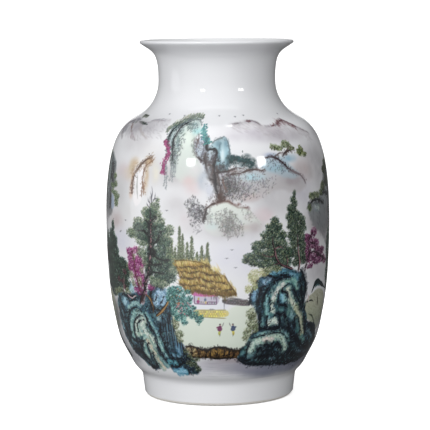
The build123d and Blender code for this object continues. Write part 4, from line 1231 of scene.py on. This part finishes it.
def back_mist():
    """Thin washes behind the motifs at the back."""
    washes([
        (170, 262, 40, 12, (176, 172, 178), 0.7), (214, 240, 30, 22, (206, 204, 208), 0.8),
        (196, 212, 26, 20, (196, 190, 194), 0.7), (262, 268, 50, 9, (198, 196, 204), 0.75),
        (236, 214, 26, 14, mist_rose, 0.7), (330, 156, 60, 20, (204, 204, 210), 0.8),
        (386, 210, 26, 26, (212, 210, 212), 0.8), (420, 262, 52, 12, (184, 180, 186), 0.75),
        (452, 214, 30, 24, (200, 198, 202), 0.8), (478, 244, 32, 16, mist_lilac, 0.7),
        (506, 262, 36, 12, (180, 178, 184), 0.75), (472, 200, 24, 14, mist_rose, 0.6),
        (290, 190, 30, 18, (196, 192, 198), 0.7), (360, 240, 20, 16, (222, 221, 222), 0.7),
    ], layered=True)


def far_side():
    """The back of the vase: a lake with boats between two shores, under a second peak."""
    back_mist()
    far_ridge([(158, 268), (172, 276), (186, 279), (198, 275), (214, 269), (232, 272), (250, 277), (268, 273),
               (286, 268)], (156, 150, 156), 10)
    far_ridge([(398, 266), (414, 272), (430, 279), (444, 277), (460, 270), (478, 268), (496, 274), (514, 281),
               (532, 278), (548, 272)], (156, 148, 156), 11, (70, 60, 68))
    far_ridge([(440, 226), (452, 233), (462, 238), (474, 232), (488, 226), (504, 222)], (176, 172, 180), 12,
              (110, 106, 116))
    cliff_left()
    cliff_right()
    with placed(340, -1):
        waterfall()
        middle_crags()
        left_peak()
        dome_boulder()
    far_ridge([(270, 152), (284, 158), (300, 160), (318, 154), (340, 150), (362, 155), (382, 162), (402, 158),
               (430, 150)], (160, 172, 178), 8, (92, 104, 106))
    olive_bushes([(288, 160, 5, 2.4), (302, 161, 6, 2.6), (380, 163, 6, 2.8), (396, 161, 5, 2.4)])
    lake(262, 446, 40, 152)
    water(150, 430)
    for u, z, width, colour in [(200, 40, 50, (112, 116, 132)), (250, 42, 40, (140, 142, 156)),
                                (330, 40, 60, (150, 152, 166)), (400, 38, 50, (128, 130, 146)),
                                (470, 38, 60, (112, 114, 130)), (530, 40, 36, (124, 124, 138))]:
        wash(u, z, width, 9, colour, 0.85, size=20)
    boat(318, 104)
    boat(366, 126, 0.7, (206, 176, 150))
    boat(290, 130, 0.55)
    islet(340, 66)
    islet(402, 92)
    with placed(296):
        firs_left()
        left_rocks()
        magenta_tree_left()
        tall_pine()
        teal_tree()
    with placed(410):
        far_right_rocks()
        right_rocks()
        trees_right()
    for u, z in [(238, 262), (262, 256), (276, 262), (418, 250), (446, 258), (470, 262), (352, 262),
                 (340, 140), (410, 142), (330, 180)]:
        bird(u, z)


def paint(heights):
    """The whole landscape, from the far hills to the near rocks, all round the vase."""
    global band
    band = Band(heights)
    sky_and_mist()
    far_side()
    left_range()
    far_ridge([(18, 274), (30, 275), (40, 276.5), (49, 275.5), (55, 272), (66, 271), (78, 272.5), (86, 275),
               (94, 275.5), (101, 272.5), (107, 269.5), (116, 266), (126, 263)], (172, 165, 170), 9,
               (98, 88, 94))
    for line in [[(68, 271), (74, 272)], [(79, 273), (84, 275)], [(87, 275.5), (92, 275)],
                 [(38, 276), (44, 276)], [(103, 271), (107, 269)]]:
        crease(line, 1.0, (96, 66, 70), 0.3)
    u, z, tilt = along_line([(78, 272), (86, 274.5), (94, 274), (100, 271), (106, 268.5)], 90, 1.2)
    strokes(u, z, 3.4, 0.8, -0.5, (104, 70, 74), 0.6, spread=0.5)
    waterfall()
    middle_crags()
    left_peak()
    dome_boulder()
    water()
    ground_and_bank()
    plumes()
    hut()
    far_right_rocks()
    firs_left()
    left_rocks()
    right_rocks()
    magenta_tree_left()
    tall_pine()
    teal_tree()
    trees_right()
    for u, z in [(38, 281), (25, 280), (3, 281), (-48, 281), (-75, 282), (100, 281), (-113, 169), (-103, 181),
                 (13, 157), (8, 149), (16.5, 140), (-50, 193.5)]:
        bird(u, z)


# ---------------------------------------------------------------- shapes


def face_chain(node, keep, gap=0.25):
    """The (radius, height) points, in mm and from the lowest up, of the CAD faces that pass the test."""
    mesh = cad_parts[node].data
    mesh.calc_loop_triangles()
    places = np.empty(3 * len(mesh.vertices))
    mesh.vertices.foreach_get("co", places)
    places = places.reshape(-1, 3) / MM
    corners = np.empty(3 * len(mesh.loop_triangles), int)
    mesh.loop_triangles.foreach_get("vertices", corners)
    corners = corners.reshape(-1, 3)
    a, b, c = (places[corners[:, k]] for k in range(3))
    facing = np.cross(b - a, c - a)
    facing /= np.linalg.norm(facing, axis=1, keepdims=True) + 1e-12
    centre = (a + b + c) / 3
    outward = (facing[:, :2] * centre[:, :2]).sum(1) / (np.hypot(*centre[:, :2].T) + 1e-9)
    used = np.unique(corners[keep(outward, facing[:, 2])])
    points = np.column_stack([np.hypot(*places[used, :2].T), places[used, 2]])
    points = points[np.lexsort((points[:, 0], np.round(points[:, 1], 3)))]
    chain = [points[0]]
    for point in points[1:-1]:
        if math.dist(point, chain[-1]) > gap and math.dist(point, points[-1]) > gap:
            chain.append(point)
    return np.array([*chain, points[-1]])


def resample(points, spacing):
    """Evenly spaced points on a smooth curve through a chain of points."""
    points = np.asarray(points, float)
    step = np.hypot(*np.diff(points, axis=0).T)[:, None]
    slope = np.diff(points, axis=0) / step
    inner = (slope[:-1] * step[1:] + slope[1:] * step[:-1]) / (step[:-1] + step[1:])
    tangent = np.vstack([2 * slope[0] - inner[0], inner, 2 * slope[-1] - inner[-1]])
    t = np.linspace(0, 1, 16, endpoint=False)[None, :, None]
    start, end = points[:-1, None], points[1:, None]
    leave, arrive = (tangent[:-1] * step)[:, None], (tangent[1:] * step)[:, None]
    fine = (
        (1 + 2 * t) * (1 - t) ** 2 * start + t * (1 - t) ** 2 * leave
        + t * t * (3 - 2 * t) * end + t * t * (t - 1) * arrive
    )
    fine = np.vstack([fine.reshape(-1, 2), points[-1]])
    length = np.concatenate([[0], np.cumsum(np.hypot(*np.diff(fine, axis=0).T))])
    even = np.linspace(0, length[-1], max(2, round(length[-1] / spacing) + 1))
    return np.column_stack([np.interp(even, length, fine[:, k]) for k in (0, 1)])


def grid_mesh(name, places, normals, closed, colours=None):
    """A smooth quad mesh over a grid of places in mm, rows from the bottom up and columns to the right."""
    rows, columns, _ = places.shape
    index = np.arange(rows * columns).reshape(rows, columns)
    beside = np.roll(index, -1, axis=1) if closed else index[:, 1:]
    here = index if closed else index[:, :-1]
    quads = np.stack([here[:-1], beside[:-1], beside[1:], here[1:]], axis=-1).reshape(-1, 4)
    mesh = bpy.data.meshes.new(name)
    mesh.vertices.add(index.size)
    mesh.vertices.foreach_set("co", (places * MM).ravel())
    mesh.loops.add(quads.size)
    mesh.loops.foreach_set("vertex_index", quads.ravel())
    mesh.polygons.add(len(quads))
    mesh.polygons.foreach_set("loop_start", 4 * np.arange(len(quads)))
    mesh.polygons.foreach_set("use_smooth", np.ones(len(quads), bool))
    mesh.update(calc_edges=True)
    mesh.validate()
    mesh.normals_split_custom_set_from_vertices(normals.reshape(-1, 3))
    if colours is not None:
        shown = np.clip(colours / 255, 0, 1)
        linear = np.where(shown <= 0.04045, shown / 12.92, ((shown + 0.055) / 1.055) ** 2.4)
        layer = mesh.attributes.new("enamel", "FLOAT_COLOR", "POINT")
        opaque = np.ones((index.size, 4))
        opaque[:, :3] = linear.reshape(-1, 3)
        layer.data.foreach_set("color", opaque.ravel())
    piece = bpy.data.objects.new(name, mesh)
    bpy.context.scene.collection.objects.link(piece)
    return piece


def turned(radius, height, turn):
    """The places of a half section turned to the given azimuths. Azimuth 0 faces the camera."""
    radius = np.broadcast_to(radius, (len(height), len(turn)))
    level = np.broadcast_to(height[:, None], radius.shape)
    return np.stack([radius * np.sin(turn), -radius * np.cos(turn), level], axis=-1)


def facing(places):
    """Unit normals of a grid that closes on itself sideways."""
    up = np.gradient(places, axis=0)
    right = np.roll(places, -1, axis=1) - np.roll(places, 1, axis=1)
    normal = np.cross(right, up)
    return normal / (np.linalg.norm(normal, axis=-1, keepdims=True) + 1e-12)


def declare(piece, material, node):
    """Gives a finished piece its material, hangs it on the body and hides the CAD node that it stands in for.
    """
    piece.data.materials.append(material)
    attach(piece, "root")
    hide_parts(node)


def turned_piece(name, section, columns, material, node):
    """A piece of glaze that is the same all round."""
    turn = 2 * math.pi * np.arange(columns) / columns
    places = turned(section[:, :1], section[:, 1], turn)
    piece = grid_mesh(name, places, facing(places), closed=True)
    declare(piece, material, node)


# ---------------------------------------------------------------- materials


def new_material(name):
    """A node material, with its shader and the maker of further nodes."""
    material = bpy.data.materials.new(name)
    material.use_nodes = True
    nodes = material.node_tree.nodes
    return material, nodes, material.node_tree.links, nodes["Principled BSDF"]


def noise_node(nodes, links, scale, detail=2.0):
    """Noise fixed to the object, with bumps of about 1 / scale metres."""
    place = nodes.new("ShaderNodeTexCoord")
    texture = nodes.new("ShaderNodeTexNoise")
    texture.inputs["Scale"].default_value = scale
    texture.inputs["Detail"].default_value = detail
    links.new(place.outputs["Object"], texture.inputs["Vector"])
    return texture


def spread_node(nodes, links, source, low, high):
    """Maps 0..1 to low..high."""
    span = nodes.new("ShaderNodeMapRange")
    span.inputs["To Min"].default_value = low
    span.inputs["To Max"].default_value = high
    links.new(source, span.inputs["Value"])
    return span.outputs["Result"]


def ramp_node(nodes, links, source, low, high):
    """Maps 0..1 to a colour between two, given as sRGB, 0 to 255."""
    mix = nodes.new("ShaderNodeValToRGB")
    for element, colour in zip(mix.color_ramp.elements, (low, high)):
        shown = np.asarray(colour) / 255
        element.color = (*(((shown + 0.055) / 1.055) ** 2.4), 1)
    links.new(source, mix.inputs["Fac"])
    return mix.outputs["Color"]


def bump_node(nodes, links, source, shader, distance):
    """Unevenness of the surface, with its height in metres."""
    bump = nodes.new("ShaderNodeBump")
    bump.inputs["Distance"].default_value = distance
    links.new(source, bump.inputs["Height"])
    links.new(bump.outputs["Normal"], shader.inputs["Normal"])


def glazed(name, colour_attribute=None, low=(224, 225, 228), high=(228, 229, 232)):
    """Clear glaze on porcelain, or over enamel colours kept on the mesh."""
    material, nodes, links, shader = new_material(name)
    drift = noise_node(nodes, links, 9.0)
    orange_peel = noise_node(nodes, links, 70.0)
    if colour_attribute:
        colour = nodes.new("ShaderNodeAttribute")
        colour.attribute_name = colour_attribute
        links.new(colour.outputs["Color"], shader.inputs["Base Color"])
    else:
        links.new(ramp_node(nodes, links, drift.outputs["Fac"], low, high), shader.inputs["Base Color"])
    links.new(spread_node(nodes, links, drift.outputs["Fac"], 0.06, 0.10), shader.inputs["Roughness"])
    bump_node(nodes, links, orange_peel.outputs["Fac"], shader, 0.00006)
    shader.inputs["IOR"].default_value = 1.6
    return material


def unglazed(name, low, high, grain=900.0, depth=0.00012):
    """Bare fired clay: matt and fine-grained."""
    material, nodes, links, shader = new_material(name)
    speck = noise_node(nodes, links, grain, 4.0)
    patch = noise_node(nodes, links, 22.0, 3.0)
    links.new(ramp_node(nodes, links, patch.outputs["Fac"], low, high), shader.inputs["Base Color"])
    links.new(spread_node(nodes, links, patch.outputs["Fac"], 0.72, 0.9), shader.inputs["Roughness"])
    bump_node(nodes, links, speck.outputs["Fac"], shader, depth)
    return material


painted = glazed("painted_enamel", colour_attribute="enamel")
clear_glaze = glazed("clear_glaze")
inner_glaze = glazed("inner_glaze", low=(220, 221, 223), high=(226, 227, 229))
biscuit = unglazed("biscuit_porcelain", (220, 217, 210), (231, 229, 224))
slip = unglazed("luting_slip", (220, 214, 204), (230, 225, 217), grain=1400.0, depth=0.00006)

# ---------------------------------------------------------------- the pieces

GLAZE_ROW = 0.8
GLAZE_COLUMNS = 700
PINHOLE_RADIUS = 0.2
DISC_RINGS = 12
ENAMEL_COAT = 0.2
SIDEWAYS = 0.02
PAINTING_LOW, PAINTING_HIGH = (corner.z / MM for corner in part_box("enamel_painting"))

outside = resample(face_chain("outer_glaze", lambda outward, up: outward > SIDEWAYS), 0.1)
inside = face_chain("inner_glaze", lambda outward, up: (outward < -SIDEWAYS) | (up > 0.99))
underneath = face_chain("base_glaze", lambda outward, up: (outward < -SIDEWAYS) & (up < 0.5))


def between(low, high, spacing):
    """The outside of the glaze between two heights, evenly spaced."""
    inside_span = (outside[:, 1] > low + 0.05) & (outside[:, 1] < high - 0.05)
    ends = [(np.interp(level, outside[:, 1], outside[:, 0]), level) for level in (low, high)]
    return resample(np.vstack([ends[0], outside[inside_span][::8], ends[1]]), spacing)


def closed_off(section):
    """The section with a level disc added from its last point to the axis."""
    radius, height = section[-1]
    disc = [(r, height) for r in np.linspace(radius, PINHOLE_RADIUS, DISC_RINGS)[1:]]
    return np.vstack([section, disc])


foot_section = between(outside[0, 1], PAINTING_LOW, GLAZE_ROW)
neck_section = between(PAINTING_HIGH, outside[-1, 1], GLAZE_ROW)
painted_section = between(PAINTING_LOW, PAINTING_HIGH, ROW_STEP)

turned_piece("foot_glaze", foot_section, GLAZE_COLUMNS, clear_glaze, "outer_glaze")
turned_piece("neck_glaze", neck_section, GLAZE_COLUMNS, clear_glaze, "outer_glaze")

inside = closed_off(resample(inside, GLAZE_ROW)[::-1])
turned_piece("inner_glaze_skin", inside, GLAZE_COLUMNS, inner_glaze, "inner_glaze")

underneath = closed_off(resample(underneath, GLAZE_ROW))[::-1]
turned_piece("base_glaze_skin", underneath, GLAZE_COLUMNS, clear_glaze, "base_glaze")

paint(painted_section[:, 1])

PANELS = ("front", "right", "back", "left")
turn = 2 * math.pi * (np.arange(COLUMNS) / COLUMNS - 0.5)
level = painted_section[:, 1]
thin_edge = np.clip(np.minimum(level - PAINTING_LOW, PAINTING_HIGH - level), 0, 1)
soft_relief = (band.relief + np.roll(band.relief, 1, axis=1) + np.roll(band.relief, -1, axis=1)) / 3
coat = np.clip(soft_relief, 0, ENAMEL_COAT) * thin_edge[:, None]
places = turned(painted_section[:, :1] + coat, level, turn)
normals = facing(places)
for number, panel in enumerate(PANELS):
    first = COLUMNS // 8 * (3 + 2 * number)
    columns = np.arange(first, first + COLUMNS // 4 + 1) % COLUMNS
    colours = band.colour[:, columns]
    piece = grid_mesh(f"painting_{panel}", places[:, columns], normals[:, columns], closed=False,
                      colours=colours)
    declare(piece, painted, "enamel_painting")

for node, material in [
    ("foot_section", biscuit), ("lower_body", biscuit), ("upper_body", biscuit), ("neck_section", biscuit),
    ("foot_luting_seam", slip), ("belly_luting_seam", slip), ("neck_luting_seam", slip),
]:
    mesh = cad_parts[node].data
    mesh.materials.clear()
    mesh.materials.append(material)

# ---------------------------------------------------------------- the room

PAPER_GLOW = 0.62
FLOOR_REACH = 80
LAMP_DISTANCE = 2.0
LAMP_TARGET = (0, 0, 0.2)

# Brightness of the walls: all round, in front, at the left, and two small bright patches.
WALL_BASE = 0.08
WALL_FRONT = 1.26
WALL_LEFT = 0.2
WALL_BACK = 1.0
PATCH_FROM, PATCH_TO = 0.972, 0.982

CAMERA_PLACE = (-0.0028, -1.918, 0.390)
CAMERA_PITCH = math.radians(90 - 6.30)
CAMERA_ROLL = math.radians(-0.42)
FOCAL_PIXELS = 1941
FRAME_PIXELS = 430
SENSOR_MM = 36


def toward(azimuth, elevation):
    """The direction of an azimuth and an elevation in degrees, with azimuth 0 on the camera's side."""
    a, e = math.radians(azimuth), math.radians(elevation)
    return Vector((math.sin(a) * math.cos(e), -math.cos(a) * math.cos(e), math.sin(e)))


def placed_lamp(name, lamp, place=(0, 0, 0)):
    """Puts a lamp into the scene."""
    light = bpy.data.objects.new(name, lamp)
    bpy.context.scene.collection.objects.link(light)
    light.location = place
    return light


def aim(light):
    """Turns a lamp towards the vase."""
    from_here = Vector(LAMP_TARGET) - light.location
    light.rotation_euler = from_here.to_track_quat("-Z", "Y").to_euler()


def softbox(name, azimuth, elevation, width, height, power):
    """A rectangular lamp that faces the vase."""
    lamp = bpy.data.lights.new(name, "AREA")
    lamp.shape = "RECTANGLE"
    lamp.size = width
    lamp.size_y = height
    lamp.energy = power
    aim(placed_lamp(name, lamp, Vector(LAMP_TARGET) + LAMP_DISTANCE * toward(azimuth, elevation)))


def sun(name, strength, spread, place=(0, 0, 0)):
    """A far lamp that shines straight down, with a disc of the given width in degrees."""
    lamp = bpy.data.lights.new(name, "SUN")
    lamp.energy = strength
    lamp.angle = math.radians(spread)
    return placed_lamp(name, lamp, place)


def white_paper():
    """Plain matt paper with a faint drift of tone, that glows a little."""
    material, nodes, links, shader = new_material("white_paper")
    drift = noise_node(nodes, links, 1.5)
    tone = ramp_node(nodes, links, drift.outputs["Fac"], (245, 245, 245), (247, 247, 247))
    links.new(tone, shader.inputs["Base Color"])
    shader.inputs["Roughness"].default_value = 0.9
    shader.inputs["Emission Color"].default_value = (1, 1, 1, 1)
    shader.inputs["Emission Strength"].default_value = PAPER_GLOW
    return material


def lay_floor():
    """A wide white floor that throws no light on the vase."""
    mesh = bpy.data.meshes.new("floor")
    corners = [(FLOOR_REACH * x, FLOOR_REACH * y, 0) for x, y in ((-1, -1), (1, -1), (1, 1), (-1, 1))]
    mesh.from_pydata(corners, [], [(0, 1, 2, 3)])
    piece = bpy.data.objects.new("floor", mesh)
    bpy.context.scene.collection.objects.link(piece)
    mesh.materials.append(white_paper())
    piece.visible_diffuse = False
    piece.visible_glossy = False


def studio_walls():
    """White walls: bright in front, dimmer at the sides, dimmest at the right."""
    world = bpy.data.worlds.new("studio")
    bpy.context.scene.world = world
    world.use_nodes = True
    nodes, links = world.node_tree.nodes, world.node_tree.links
    place = nodes.new("ShaderNodeTexCoord")
    total = None
    for azimuth, elevation, from_cosine, to_cosine, brightness in [
        (0, 90, -2.0, -1.0, WALL_BASE),
        (-14, 25, 0.05, 1.0, WALL_FRONT),
        (-90, 10, 0.0, 1.0, WALL_LEFT),
        (180, 3, PATCH_FROM, PATCH_TO, WALL_BACK),
        (-90, 3, PATCH_FROM, PATCH_TO, WALL_BACK),
    ]:
        cosine = nodes.new("ShaderNodeVectorMath")
        cosine.operation = "DOT_PRODUCT"
        cosine.inputs[1].default_value = toward(azimuth, elevation)
        links.new(place.outputs["Generated"], cosine.inputs[0])
        span = nodes.new("ShaderNodeMapRange")
        span.interpolation_type = "SMOOTHSTEP"
        span.inputs["From Min"].default_value = from_cosine
        span.inputs["From Max"].default_value = to_cosine
        span.inputs["To Max"].default_value = brightness
        links.new(cosine.outputs["Value"], span.inputs["Value"])
        if total is None:
            total = span.outputs["Result"]
        else:
            add = nodes.new("ShaderNodeMath")
            links.new(total, add.inputs[0])
            links.new(span.outputs["Result"], add.inputs[1])
            total = add.outputs["Value"]
    links.new(total, nodes["Background"].inputs["Strength"])
    nodes["Background"].inputs["Color"].default_value = (1, 1, 1, 1)


def set_camera():
    """The camera: a little above the vase, turned down and rolled slightly."""
    lens = bpy.data.cameras.new("camera")
    lens.sensor_width = SENSOR_MM
    lens.lens = SENSOR_MM * FOCAL_PIXELS / FRAME_PIXELS
    camera = bpy.data.objects.new("camera", lens)
    bpy.context.scene.collection.objects.link(camera)
    camera.location = CAMERA_PLACE
    camera.rotation_euler = Euler((CAMERA_PITCH, 0, 0))
    camera.rotation_euler.rotate_axis("Z", CAMERA_ROLL)
    bpy.context.scene.camera = camera


lay_floor()
softbox("left_softbox", -28, 20.5, 0.26, 0.19, 3.4)
softbox("right_softbox", 47.5, 19, 0.27, 0.22, 3.6)
softbox("top_strip", 152, 81, 0.30, 0.10, 3.0)
sun("overhead", 0.45, 50)
back_fill = sun("back_fill", 1.5, 30, (0, 2, 0.6))
back_fill.visible_glossy = False
aim(back_fill)
studio_walls()
set_camera()
bpy.context.scene.view_settings.view_transform = "Standard"
